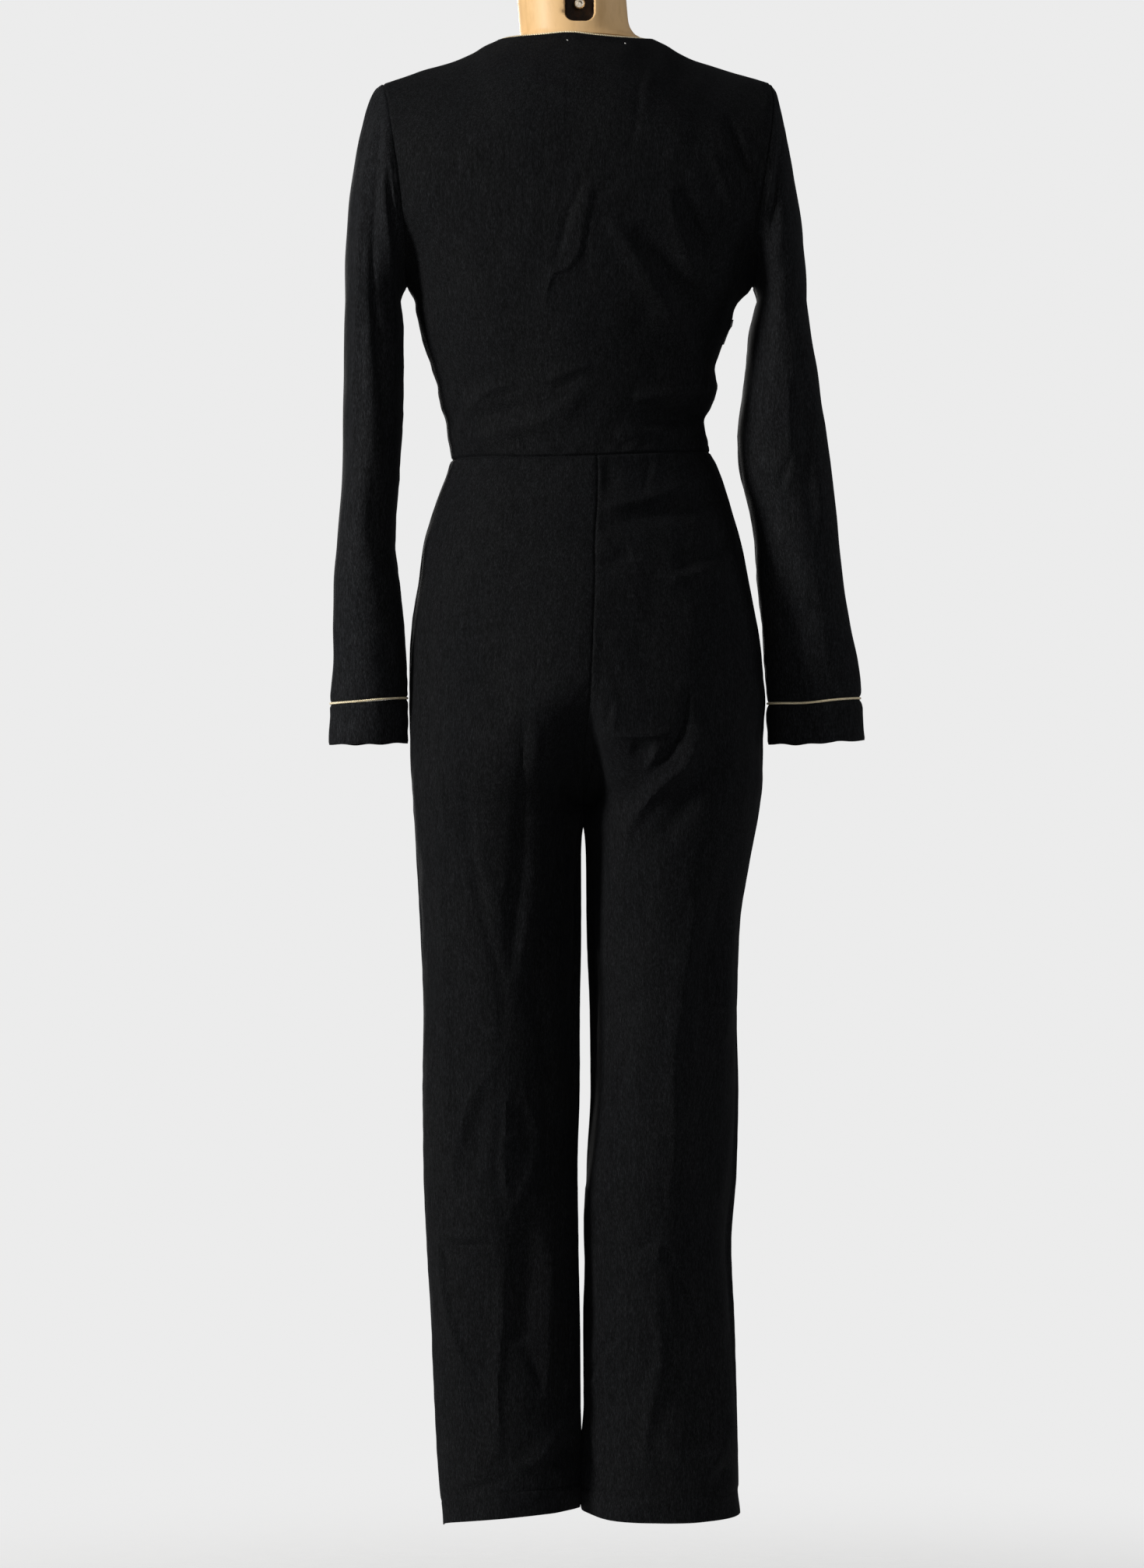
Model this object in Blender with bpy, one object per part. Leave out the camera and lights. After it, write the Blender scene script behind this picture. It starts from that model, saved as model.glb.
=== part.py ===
"""A long-sleeved jumpsuit with tapered trousers, held by a limbless hanging torso form.

Heights in the tables are measured up from the trouser hem, in metres. Every point is moved down
by HOOK_HEIGHT when its mesh is made, so the origin is the inside of the hook, where it hangs.
+X is the wearer's left, the front of the garment faces -Y and +Z is up. The cloth is a set of
walls: each panel is a grid of points on the garment's outer surface, and its inner face is the
same grid moved in by the wall's thickness.
"""
import math

import bmesh
import bpy
import numpy as np

# ---- Driving dimensions (metres) ----
HOOK_HEIGHT = 1.5775
CLOTH = 0.0014
SEAM = 0.0003
WAIST = 1.0340
CROTCH = 0.7000
SEAT_TOP = 0.8400
SEAM_POWER = 6
UNDERARM = 1.2030
NAPE = 1.4400
NECK_POINT_X = 0.0750
NECK_POINT = 1.4435
V_BOTTOM = 1.2700
SHOULDER_ROUND = 0.1100
ARMHOLE_TURN = 0.0750
CLOSING_POWER = 8
UNDERARM_FLARE = 0.0080
FLARE_BELOW = 0.0100
FLARE_ABOVE = 0.0300
FLARE_POWER = 7
SLEEVE_TOP = 1.1900
SLEEVE_END = 0.8035
SLEEVE_LEAVE = {"left": (0.3900, 0.0000, -0.2300), "right": (0.1700, 0.0000, -0.2300)}
SLEEVE_ARRIVE = (0.0000, 0.0000, -0.9300)
CUFF_TOP = 0.7995
CUFF_END = {"left": (0.7630, 0.7590), "right": (0.7620, 0.7620)}
HEM = {"left": (0.0182, 0.0000, 0.0070), "right": (0.0160, 0.0125, -0.0035)}
HEM_FADE = 0.3000
WAIST_LIFT_FADE = 0.0450
PIPING_RADIUS = 0.0015
CUFF_PIPING_RADIUS = 0.0016
CUFF_PIPING_SINK = 0.4000
FOLD_TAPER = 0.7000
FRONT_RELIEF = 0.7000
FORM_CLEAR = 0.0080
FORM_SEAT = 0.0018
FORM_DROP = 0.0050
FORM_EDGE = 0.0020
SHOULDER_TIP = 1.3950
NECK_BASE = 1.4380
NECK_FLARE = 0.0090
NECK_FLARE_HEIGHT = 0.0100
NECK_TOP = 1.5000
NECK_HALF_WIDTH = 0.0530
NECK_HALF_DEPTH = 0.0500
FORM_END_ROUND = 0.0060
FORM_END_SHARE = 0.9300
NECK_END_SHARE = 0.9400
SLOT_CENTRE_X = 0.0042
SLOT_HALF_WIDTH = 0.0140
SLOT_BOTTOM = 1.4550
SLOT_FLOOR_Y = 0.0340
SLOT_CORNER = 0.0090
SLOT_OPENING = 0.0200
BOLT_HEIGHT = 1.4720
BOLT_RADIUS = 0.0052
BOLT_LENGTH = 0.0090
BOLT_CHAMFER = 0.0010
BOLT_SOCKET = 0.0050
HOOK_WIRE_RADIUS = 0.0025
HOOK_BEND_RADIUS = 0.0200
HOOK_BEND_DEGREES = 220
ZIP_TOP = 1.1720
ZIP_BOTTOM = 1.1480

# ---- Grid sizes ----
NECK_COLUMNS = 5
SHOULDER_COLUMNS = 6
BODY_ROWS = 7
ARMHOLE_ROWS = 12
SLEEVE_HEAD_ROWS = 8
SLEEVE_ROWS = 10
CUFF_ROWS = 2
LEG_COLUMNS = 10
LEG_ROWS = 12
SEAT_ROWS = 6
HIP_ROWS = 5
PIPING_SIDES = 6
FORM_HALF_COLUMNS = 13
BOLT_SIDES = 12

# ---- Sections of the garment ----
BODICE_COLUMNS = ("height", "half_width", "back", "front", "lean")
BODICE_ROWS = (
    (1.0340, 0.1255, 0.0860, 0.0940, 0.0030),
    (1.0670, 0.1250, 0.0880, 0.0980, 0.0080),
    (1.0860, 0.1314, 0.0910, 0.1010, 0.0070),
    (1.1050, 0.1360, 0.0935, 0.1055, 0.0062),
    (1.1240, 0.1379, 0.0960, 0.1100, 0.0100),
    (1.1420, 0.1436, 0.0985, 0.1150, 0.0108),
    (1.1800, 0.1545, 0.1030, 0.1280, 0.0087),
    (1.2030, 0.1600, 0.1055, 0.1330, 0.0040),
    (1.2350, 0.1665, 0.1072, 0.1300, 0.0036),
    (1.2700, 0.1712, 0.1080, 0.1230, 0.0035),
    (1.3100, 0.1762, 0.1070, 0.1130, 0.0020),
    (1.3430, 0.1813, 0.1050, 0.1050, 0.0020),
    (1.3780, 0.1860, 0.1000, 0.0960, 0.0030),
    (1.4020, 0.1880, 0.0960, 0.0900, 0.0070),
    (1.4450, 0.1880, 0.0880, 0.0800, 0.0088),
    (1.5000, 0.1880, 0.0880, 0.0800, 0.0130),
)
WRAP_ROWS = (
    # height, degrees of its own arc between a bodice section's centre and its edge
    (1.0340, 90.0),
    (1.0900, 88.0),
    (1.1600, 77.0),
    (1.2200, 64.0),
    (1.2900, 54.0),
    (1.3500, 52.0),
    (1.5000, 52.0),
)
SHOULDER_LINE = (
    # distance from the centre, height of the shoulder seam
    (0.0000, 1.4680),
    (0.0400, 1.4610),
    (0.0750, 1.4435),
    (0.0870, 1.4375),
    (0.0985, 1.4300),
    (0.1195, 1.4215),
    (0.1525, 1.4120),
    (0.1880, 1.4015),
    (0.2100, 1.3940),
)
TROUSER_COLUMNS = ("height", "left_out", "left_in", "right_in", "right_out", "back", "front")
TROUSER_ROWS = (
    (0.0000, 0.1370, 0.0052, 0.0000, -0.1515, 0.0560, 0.0530),
    (0.0440, 0.1409, 0.0037, 0.0024, -0.1508, 0.0572, 0.0540),
    (0.0820, 0.1434, 0.0028, 0.0013, -0.1500, 0.0586, 0.0555),
    (0.1200, 0.1455, 0.0036, -0.0010, -0.1492, 0.0600, 0.0570),
    (0.1955, 0.1485, 0.0045, -0.0010, -0.1470, 0.0640, 0.0610),
    (0.2712, 0.1530, 0.0061, -0.0038, -0.1439, 0.0685, 0.0650),
    (0.3470, 0.1561, 0.0068, -0.0045, -0.1492, 0.0730, 0.0690),
    (0.4230, 0.1568, 0.0045, -0.0083, -0.1508, 0.0780, 0.0730),
    (0.4980, 0.1561, 0.0038, -0.0076, -0.1492, 0.0830, 0.0775),
    (0.5740, 0.1591, 0.0023, -0.0045, -0.1515, 0.0880, 0.0810),
    (0.6500, 0.1629, 0.0023, -0.0030, -0.1614, 0.0945, 0.0860),
    (0.7000, 0.1660, 0.0000, 0.0000, -0.1705, 0.1010, 0.0900),
    (0.7260, 0.1674, 0.0000, 0.0000, -0.1742, 0.1090, 0.0925),
    (0.7640, 0.1689, -0.0010, -0.0010, -0.1742, 0.1165, 0.0960),
    (0.8015, 0.1697, -0.0020, -0.0020, -0.1765, 0.1215, 0.0995),
    (0.8400, 0.1697, -0.0012, -0.0012, -0.1727, 0.1200, 0.1030),
    (0.8770, 0.1674, 0.0000, 0.0000, -0.1682, 0.1150, 0.1040),
    (0.9150, 0.1610, 0.0000, 0.0000, -0.1614, 0.1085, 0.1035),
    (0.9530, 0.1561, 0.0010, 0.0010, -0.1538, 0.1010, 0.1015),
    (0.9910, 0.1447, 0.0015, 0.0015, -0.1417, 0.0935, 0.0980),
    (1.0200, 0.1335, 0.0020, 0.0020, -0.1300, 0.0880, 0.0950),
    (1.0340, 0.1285, 0.0030, 0.0030, -0.1225, 0.0860, 0.0940),
)
LEG_SPREAD_ROWS = (
    # height, degrees round the leg that the even columns of a panel share
    (0.0000, 180.0),
    (0.4500, 178.0),
    (0.6000, 168.0),
    (0.7000, 144.0),
    (0.7233, 134.0),
    (0.7467, 122.0),
    (0.7700, 109.0),
    (0.7930, 98.6),
    (0.8400, 90.0),
    (1.0340, 90.0),
)
SEAM_DRIFT_ROWS = (
    # height, how far the centre-back seam stands off the middle
    (0.7000, 0.0000),
    (0.7450, -0.0010),
    (0.7850, -0.0034),
    (0.8280, -0.0056),
    (0.8640, -0.0082),
    (0.9070, -0.0101),
    (0.9510, -0.0113),
    (0.9940, -0.0143),
    (1.0340, -0.0155),
)
WAIST_LIFT_ROWS = (
    # x, how far the waist seam stands above its level there
    (-0.1300, 0.0100),
    (-0.0950, 0.0060),
    (-0.0600, 0.0032),
    (-0.0150, 0.0000),
    (0.0200, -0.0012),
    (0.0500, -0.0014),
    (0.0900, 0.0006),
    (0.1300, 0.0016),
)
SLEEVE_COLUMNS = ("height", "centre", "half_width", "half_depth", "forward")
SLEEVE_TABLE = {
    "left": (
        (0.7600, 0.2103, 0.0372, 0.0440, 0.0040),
        (0.8030, 0.2092, 0.0378, 0.0450, 0.0040),
        (0.8400, 0.2083, 0.0356, 0.0490, 0.0040),
        (0.8770, 0.2095, 0.0345, 0.0505, 0.0040),
        (0.9150, 0.2110, 0.0322, 0.0530, 0.0035),
        (0.9530, 0.2121, 0.0290, 0.0550, 0.0030),
        (1.0290, 0.2068, 0.0280, 0.0590, 0.0020),
        (1.0670, 0.2053, 0.0288, 0.0600, 0.0010),
        (1.1240, 0.2040, 0.0288, 0.0620, 0.0000),
        (1.1610, 0.2043, 0.0285, 0.0625, 0.0000),
        (1.1900, 0.2055, 0.0265, 0.0620, 0.0000),
    ),
    "right": (
        (0.7600, 0.2242, 0.0447, 0.0368, 0.0040),
        (0.8030, 0.2242, 0.0455, 0.0375, 0.0040),
        (0.8400, 0.2208, 0.0451, 0.0420, 0.0040),
        (0.8770, 0.2163, 0.0428, 0.0450, 0.0040),
        (0.9150, 0.2114, 0.0424, 0.0465, 0.0035),
        (0.9530, 0.2083, 0.0417, 0.0480, 0.0030),
        (0.9910, 0.2027, 0.0428, 0.0485, 0.0025),
        (1.0290, 0.1958, 0.0451, 0.0490, 0.0020),
        (1.0670, 0.1928, 0.0428, 0.0520, 0.0010),
        (1.0860, 0.1924, 0.0402, 0.0540, 0.0005),
        (1.1240, 0.1924, 0.0348, 0.0570, 0.0000),
        (1.1610, 0.1909, 0.0295, 0.0595, 0.0000),
        (1.1900, 0.1925, 0.0240, 0.0600, 0.0000),
    ),
}
SIDE_SIGN = {"left": 1.0, "right": -1.0}

# ---- Folds: a straight soft ridge, or a trough where its depth is below zero ----
# Columns: x and height of its start, x and height of its end, width, depth.
BODICE_BACK_FOLDS = (
    (-0.002, 1.311, 0.035, 1.196, 0.014, 0.0040),
    (0.012, 1.300, 0.044, 1.215, 0.012, -0.0030),
    (-0.017, 1.271, -0.120, 1.135, 0.015, 0.0045),
    (-0.048, 1.260, -0.118, 1.160, 0.014, -0.0040),
    (0.115, 1.065, 0.060, 1.118, 0.014, 0.0045),
    (0.060, 1.118, 0.010, 1.130, 0.014, 0.0030),
    (-0.055, 1.084, -0.112, 1.090, 0.014, -0.0040),
    (-0.050, 1.062, -0.112, 1.060, 0.013, 0.0040),
    (-0.142, 1.350, -0.168, 1.290, 0.012, -0.0030),
)
BODICE_FRONT_FOLDS = (
    (0.095, 1.150, 0.050, 1.105, 0.015, -0.0035),
    (-0.095, 1.155, -0.045, 1.100, 0.015, -0.0035),
    (0.110, 1.075, 0.040, 1.068, 0.014, 0.0035),
    (-0.105, 1.080, -0.050, 1.070, 0.014, 0.0035),
    (0.150, 1.285, 0.115, 1.230, 0.013, -0.0030),
    (-0.150, 1.290, -0.112, 1.228, 0.013, -0.0030),
)
TROUSER_BACK_FOLDS = (
    (-0.099, 0.808, -0.093, 0.762, 0.015, -0.0050),
    (-0.112, 0.772, -0.060, 0.690, 0.018, 0.0050),
    (-0.012, 0.764, -0.085, 0.760, 0.012, 0.0030),
    (0.058, 0.783, 0.056, 0.590, 0.014, -0.0050),
    (0.034, 0.700, 0.030, 0.610, 0.014, 0.0040),
    (0.110, 0.672, 0.084, 0.545, 0.015, -0.0040),
    (0.118, 0.395, 0.090, 0.440, 0.018, -0.0040),
    (0.050, 0.410, 0.064, 0.290, 0.018, 0.0045),
    (0.130, 0.270, 0.085, 0.272, 0.014, -0.0040),
    (0.140, 0.262, 0.110, 0.140, 0.018, 0.0040),
    (-0.014, 0.555, -0.142, 0.490, 0.018, -0.0045),
    (-0.048, 0.474, -0.024, 0.320, 0.018, 0.0045),
    (-0.076, 0.276, -0.108, 0.190, 0.018, -0.0045),
    (-0.018, 0.970, -0.110, 1.015, 0.016, -0.0030),
)
TROUSER_FRONT_FOLDS = (
    (0.030, 0.745, 0.105, 0.700, 0.016, -0.0050),
    (-0.030, 0.745, -0.110, 0.705, 0.016, -0.0050),
    (0.085, 0.640, 0.080, 0.470, 0.018, 0.0045),
    (-0.082, 0.620, -0.078, 0.480, 0.018, 0.0045),
    (0.125, 0.420, 0.060, 0.380, 0.018, -0.0040),
    (-0.125, 0.440, -0.055, 0.400, 0.018, -0.0040),
    (0.110, 0.260, 0.070, 0.160, 0.018, 0.0040),
    (-0.110, 0.270, -0.070, 0.165, 0.018, 0.0040),
)
SLEEVE_FOLDS = {
    "left": (
        (0.2110, 1.340, 0.2150, 1.215, 0.008, 0.0035),
        (0.2030, 1.350, 0.2060, 1.210, 0.008, -0.0040),
        (0.1960, 1.330, 0.1980, 1.060, 0.009, 0.0035),
        (0.2250, 0.960, 0.1900, 0.930, 0.014, -0.0035),
        (0.2260, 0.880, 0.1920, 0.860, 0.014, 0.0030),
    ),
    "right": (
        (-0.1960, 1.340, -0.1800, 1.260, 0.009, -0.0040),
        (-0.2050, 1.180, -0.2200, 1.080, 0.010, -0.0040),
        (-0.1780, 1.085, -0.1640, 0.990, 0.010, -0.0040),
        (-0.1900, 1.030, -0.2080, 1.000, 0.012, 0.0040),
        (-0.2500, 0.900, -0.1980, 0.870, 0.014, -0.0035),
    ),
}

# ---- Colours (linear) and finishes ----
CREPE = (0.0060, 0.0064, 0.0072)
GOLD_CORD = (0.56, 0.44, 0.24)
FORM_TAN = (0.62, 0.40, 0.20)
STEEL = (0.62, 0.62, 0.60)
DARK_METAL = (0.03, 0.03, 0.03)


def clear_scene():
    """Remove whatever the scene holds."""
    for item in list(bpy.data.objects):
        bpy.data.objects.remove(item, do_unlink=True)


def make_material(name, colour, roughness, metallic=0.0):
    """A plain Principled material."""
    material = bpy.data.materials.new(name)
    material.use_nodes = True
    shader = material.node_tree.nodes["Principled BSDF"]
    shader.inputs["Base Color"].default_value = (*colour, 1.0)
    shader.inputs["Roughness"].default_value = roughness
    shader.inputs["Metallic"].default_value = metallic
    return material


def smooth_curve(knots, values):
    """A curve through the knots that never swings past a value."""
    knots = np.asarray(knots, dtype=float)
    values = np.asarray(values, dtype=float)
    steps = np.diff(knots)
    slopes = np.diff(values) / steps
    tangents = np.empty_like(values)
    tangents[0] = slopes[0]
    tangents[-1] = slopes[-1]
    turning = slopes[:-1] * slopes[1:] <= 0.0
    total = np.where(turning, 1.0, slopes[:-1] + slopes[1:])
    tangents[1:-1] = np.where(turning, 0.0, 2.0 * slopes[:-1] * slopes[1:] / total)

    def at(position):
        position = np.clip(position, knots[0], knots[-1])
        span = np.clip(np.searchsorted(knots, position) - 1, 0, len(steps) - 1)
        t = (position - knots[span]) / steps[span]
        start = (1.0 + 2.0 * t) * (1.0 - t) ** 2
        end = t * t * (3.0 - 2.0 * t)
        leave = t * (1.0 - t) ** 2 * steps[span]
        arrive = t * t * (t - 1.0) * steps[span]
        return (start * values[span] + end * values[span + 1]
                + leave * tangents[span] + arrive * tangents[span + 1])

    return at


def read_table(columns, rows):
    """A smooth curve for each named column, as a function of the first one."""
    table = np.array(sorted(rows))
    return {name: smooth_curve(table[:, 0], table[:, number])
            for number, name in enumerate(columns) if number > 0}


BODICE = read_table(BODICE_COLUMNS, BODICE_ROWS)
TROUSER = read_table(TROUSER_COLUMNS, TROUSER_ROWS)
SLEEVE = {side: read_table(SLEEVE_COLUMNS, rows) for side, rows in SLEEVE_TABLE.items()}
SHOULDER = smooth_curve(*zip(*SHOULDER_LINE))
WRAP = smooth_curve(*zip(*WRAP_ROWS))
LEG_SPREAD = smooth_curve(*zip(*LEG_SPREAD_ROWS))
SEAM_DRIFT = smooth_curve(*zip(*SEAM_DRIFT_ROWS))
WAIST_LIFT = smooth_curve(*zip(*WAIST_LIFT_ROWS))


def fold_relief(x, height, folds):
    """How far the folds lift the cloth at each point, in or out along its normal."""
    relief = np.zeros_like(x)
    for x0, height0, x1, height1, width, depth in folds:
        run_x = x1 - x0
        run_h = height1 - height0
        share = ((x - x0) * run_x + (height - height0) * run_h) / (run_x ** 2 + run_h ** 2)
        share = np.clip(share, 0.0, 1.0)
        distance = np.hypot(x - x0 - share * run_x, height - height0 - share * run_h)
        taper = 1.0 - FOLD_TAPER * (2.0 * share - 1.0) ** 4
        relief += depth * taper * np.exp(-(distance / width) ** 2)
    return relief


# ---- Surfaces ----
def wrap_angle(height):
    """How far round its own arc a bodice section reaches from the centre to its edge."""
    return np.radians(WRAP(height))


def side_closing(height):
    """1 where the section closes at a side seam, falling to 0 up the round of the armhole."""
    rise = np.clip((height - UNDERARM) / ARMHOLE_TURN, 0.0, 1.0)
    return 1.0 - np.sqrt(1.0 - (1.0 - rise) ** 2)


def underarm_flare(height):
    """How far the sleeve draws the side of the bodice out at the underarm."""
    reach = np.where(height < UNDERARM, FLARE_BELOW, FLARE_ABOVE)
    return UNDERARM_FLARE * np.exp(-((height - UNDERARM) / reach) ** 2)


def section_depth(across, height):
    """The share of its full depth that a bodice section has at each place across."""
    wrap = wrap_angle(height)
    closing = np.cos(wrap) * side_closing(height) * np.abs(across) ** CLOSING_POWER
    return np.cos(across * wrap) - closing


def shoulder_cap(distance_below_ridge):
    """1 well below the shoulder line, falling to 0 on it along a quarter round."""
    share = np.clip(distance_below_ridge / SHOULDER_ROUND, 0.0, 1.0)
    return np.sqrt(np.clip(1.0 - (1.0 - share) ** 2, 0.0, 1.0))


def bodice_point(across, height, facing):
    """A point of the bodice: across runs from -1 to 1 between the side edges."""
    wrap = wrap_angle(height)
    offset = BODICE["half_width"](height) * np.sin(across * wrap) / np.sin(wrap)
    offset = offset + underarm_flare(height) * across * np.abs(across) ** FLARE_POWER
    depth = BODICE["back"](height) if facing > 0 else BODICE["front"](height)
    cap = shoulder_cap(SHOULDER(np.abs(offset)) - height)
    y = facing * depth * section_depth(across, height) * cap
    return np.stack([offset + BODICE["lean"](height), y, height], axis=-1)


def neck_share():
    """The share of the half panel that the neck opening takes, at the shoulder."""
    wrap = wrap_angle(NECK_POINT)
    reach = NECK_POINT_X * math.sin(wrap) / BODICE["half_width"](NECK_POINT)
    return math.asin(reach) / wrap


def bodice_columns():
    """Column places from 0 at the centre to 1 at the side, close together at the neck point."""
    neck = neck_share()
    near = [neck * math.sin(0.5 * math.pi * k / NECK_COLUMNS) for k in range(NECK_COLUMNS)]
    far = [neck + (1.0 - neck) * k / SHOULDER_COLUMNS for k in range(SHOULDER_COLUMNS + 1)]
    half = near + far
    return np.array([-value for value in half[:0:-1]] + half)


def bodice_top(across, facing):
    """The height where each column ends: the neck edge, then the shoulder seam."""
    share = np.abs(across)
    neck = neck_share()
    wrap = wrap_angle(NECK_POINT)
    offset = BODICE["half_width"](NECK_POINT) * np.sin(share * wrap) / math.sin(wrap)
    low = NAPE if facing > 0 else V_BOTTOM
    rise = (share / neck) ** 2 if facing > 0 else share / neck
    neck_edge = low + (NECK_POINT - low) * np.clip(rise, 0.0, 1.0)
    return np.where(share < neck - 1e-9, neck_edge, SHOULDER(offset))


def waist_warp(grid):
    """Carry the cloth near the waist seam up or down with the seam."""
    grid = grid.copy()
    fade = np.exp(-((grid[..., 2] - WAIST) / WAIST_LIFT_FADE) ** 2)
    grid[..., 2] += WAIST_LIFT(grid[..., 0]) * fade
    return grid


def bodice_grid(facing):
    """Outer points of the bodice back (facing 1) or front (facing -1)."""
    across = bodice_columns()
    top = bodice_top(across, facing)
    low = np.linspace(WAIST + 0.5 * SEAM, UNDERARM, BODY_ROWS + 1)[:-1]
    turn = 0.5 - 0.5 * np.cos(np.pi * np.arange(ARMHOLE_ROWS + 1) / ARMHOLE_ROWS)
    rows = [np.full_like(across, height) for height in low]
    rows += [UNDERARM + (top - UNDERARM) * share for share in turn]
    height = np.array(rows)
    across = np.broadcast_to(across, height.shape)
    grid = bodice_point(across, height, facing)
    side = facing * 0.5 * SEAM
    grid[..., 1] = np.where(facing * grid[..., 1] < 0.5 * SEAM, side, grid[..., 1])
    return grid


def leg_grid(side, facing):
    """Outer points of one trouser panel, from the hem up; columns run from seam to side."""
    sign = SIDE_SIGN[side]
    leg = np.linspace(0.0, CROTCH, LEG_ROWS + 1)[:-1]
    seat = np.linspace(CROTCH, SEAT_TOP, SEAT_ROWS + 1)[:-1]
    hip = np.linspace(SEAT_TOP, WAIST - 0.5 * SEAM, HIP_ROWS + 1)
    level = np.concatenate([leg, seat, hip])[:, None]
    across = np.linspace(0.0, 1.0, LEG_COLUMNS + 1)[None, :]
    hem_in, hem_out, hem_middle = HEM[side]
    hem = hem_in + (hem_out - hem_in) * across
    if facing > 0:
        hem = hem + hem_middle * 4.0 * across * (1.0 - across)
    hem = hem * np.clip(1.0 - level / HEM_FADE, 0.0, 1.0)
    height = level + hem
    return leg_point(sign, facing, across, height), level < CROTCH - 1e-6


def leg_point(sign, facing, across, height):
    """A point of a trouser panel: across is 0 at the inseam or centre seam, 1 at the side."""
    name = "left" if sign > 0 else "right"
    outer = sign * TROUSER[name + "_out"](height)
    inner = sign * TROUSER[name + "_in"](height)
    rise = np.clip((height - CROTCH) / (SEAT_TOP - CROTCH), 0.0, 1.0)
    overlap = rise * rise * (3.0 - 2.0 * rise)
    edge = inner + 0.5 * SEAM
    start = np.where(height < CROTCH - 1e-9, inner, edge - overlap * (outer - inner))
    centre = 0.5 * (outer + start)
    radius = 0.5 * (outer - start)
    depth = TROUSER["back"](height) if facing > 0 else TROUSER["front"](height)
    cut = edge + (sign * SEAM_DRIFT(height) if facing > 0 else 0.0)
    side_turn = np.arcsin(0.5 * SEAM / depth)
    seam_turn = np.arccos(np.clip((cut - centre) / radius, -1.0, 1.0))
    seam_turn = np.minimum(seam_turn, math.pi - side_turn)
    spread = np.minimum(np.radians(LEG_SPREAD(height)), seam_turn + 0.2)
    angle = spread * (1.0 - across) + (seam_turn - spread) * (1.0 - across) ** SEAM_POWER
    angle = angle + side_turn * across
    x = centre + radius * np.cos(angle)
    y = depth * np.sin(angle)
    return np.stack([sign * x, facing * y, height + np.zeros_like(x)], axis=-1)


def armhole_ring(side):
    """Points round the armhole, from the underarm up the back, over the tip, down the front."""
    sign = SIDE_SIGN[side]
    top = bodice_top(np.array([1.0]), 1.0)[0]
    turn = 0.5 - 0.5 * np.cos(np.pi * np.arange(ARMHOLE_ROWS + 1) / ARMHOLE_ROWS)
    height = UNDERARM + (top - UNDERARM) * turn
    across = np.full_like(height, sign)
    back = bodice_point(across, height, 1.0)
    front = bodice_point(across, height, -1.0)
    ring = np.concatenate([back, front[-2:0:-1]])
    ring[:, 0] += sign * SEAM
    return ring


def sleeve_ring(side, height):
    """Points round the sleeve at one height, matching the armhole's points."""
    sign = SIDE_SIGN[side]
    table = SLEEVE[side]
    turn = 2.0 * np.pi * np.arange(2 * ARMHOLE_ROWS) / (2 * ARMHOLE_ROWS)
    x = sign * (table["centre"](height) - table["half_width"](height) * np.cos(turn))
    y = table["half_depth"](height) * np.sin(turn) - table["forward"](height)
    return np.stack([x, y, np.full_like(x, height)], axis=-1)


def sleeve_grid(side):
    """Outer points of a sleeve, from the armhole down to the cuff."""
    sign = SIDE_SIGN[side]
    start = armhole_ring(side)
    end = sleeve_ring(side, SLEEVE_TOP)
    length = np.linalg.norm(end - start, axis=1)[:, None]
    leave = length * np.array(SLEEVE_LEAVE[side]) * np.array([sign, 1.0, 1.0])
    arrive = length * np.array(SLEEVE_ARRIVE)
    rows = []
    for step in range(SLEEVE_HEAD_ROWS):
        t = step / SLEEVE_HEAD_ROWS
        rows.append((1.0 + 2.0 * t) * (1.0 - t) ** 2 * start + t * t * (3.0 - 2.0 * t) * end
                    + t * (1.0 - t) ** 2 * leave + t * t * (t - 1.0) * arrive)
    for height in np.linspace(SLEEVE_TOP, SLEEVE_END, SLEEVE_ROWS + 1):
        rows.append(sleeve_ring(side, height))
    return np.array(rows)


def cuff_grid(side):
    """Outer points of a cuff, whose lower edge may slope."""
    low_in, low_out = CUFF_END[side]
    rows = []
    for step in range(CUFF_ROWS + 1):
        share = step / CUFF_ROWS
        ring = sleeve_ring(side, CUFF_TOP + (0.5 * (low_in + low_out) - CUFF_TOP) * share)
        slope = 0.5 * (low_out - low_in) * share
        turn = 2.0 * np.pi * np.arange(len(ring)) / len(ring)
        ring[:, 2] -= slope * np.cos(turn)
        rows.append(ring)
    return np.array(rows)


# ---- Solids ----
def unit(vectors):
    """The vectors at length 1."""
    return vectors / np.linalg.norm(vectors, axis=-1, keepdims=True)


def grid_normals(grid, closed, axis_point):
    """Unit normals of a grid of points, facing away from the axis point."""
    if closed:
        across = np.roll(grid, -1, axis=1) - np.roll(grid, 1, axis=1)
    else:
        across = np.gradient(grid, axis=1)
    normals = unit(np.cross(across, np.gradient(grid, axis=0)))
    outward = np.sum(normals * (grid - axis_point)[..., :3]) > 0.0
    return normals if outward else -normals


def flatten(normals, selection, axis):
    """Take one axis out of the chosen normals, so that a seam's rim stays in its own plane."""
    normals[selection + (Ellipsis, axis)] = 0.0
    normals[selection] = unit(normals[selection])


def new_object(name, mesh, material):
    """An object of the scene with one material."""
    mesh.materials.append(material)
    item = bpy.data.objects.new(name, mesh)
    bpy.context.scene.collection.objects.link(item)
    return item


def finish_mesh(name, points, faces, material, sharp=50.0):
    """A closed mesh from points in hem heights, facing out."""
    mesh = bpy.data.meshes.new(name)
    placed = [(x, y, z - HOOK_HEIGHT) for x, y, z in points]
    mesh.from_pydata(placed, [], faces)
    shape = bmesh.new()
    shape.from_mesh(mesh)
    bmesh.ops.recalc_face_normals(shape, faces=shape.faces)
    shape.to_mesh(mesh)
    shape.free()
    mesh.shade_smooth()
    mesh.set_sharp_from_angle(angle=math.radians(sharp))
    return new_object(name, mesh, material)


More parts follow.
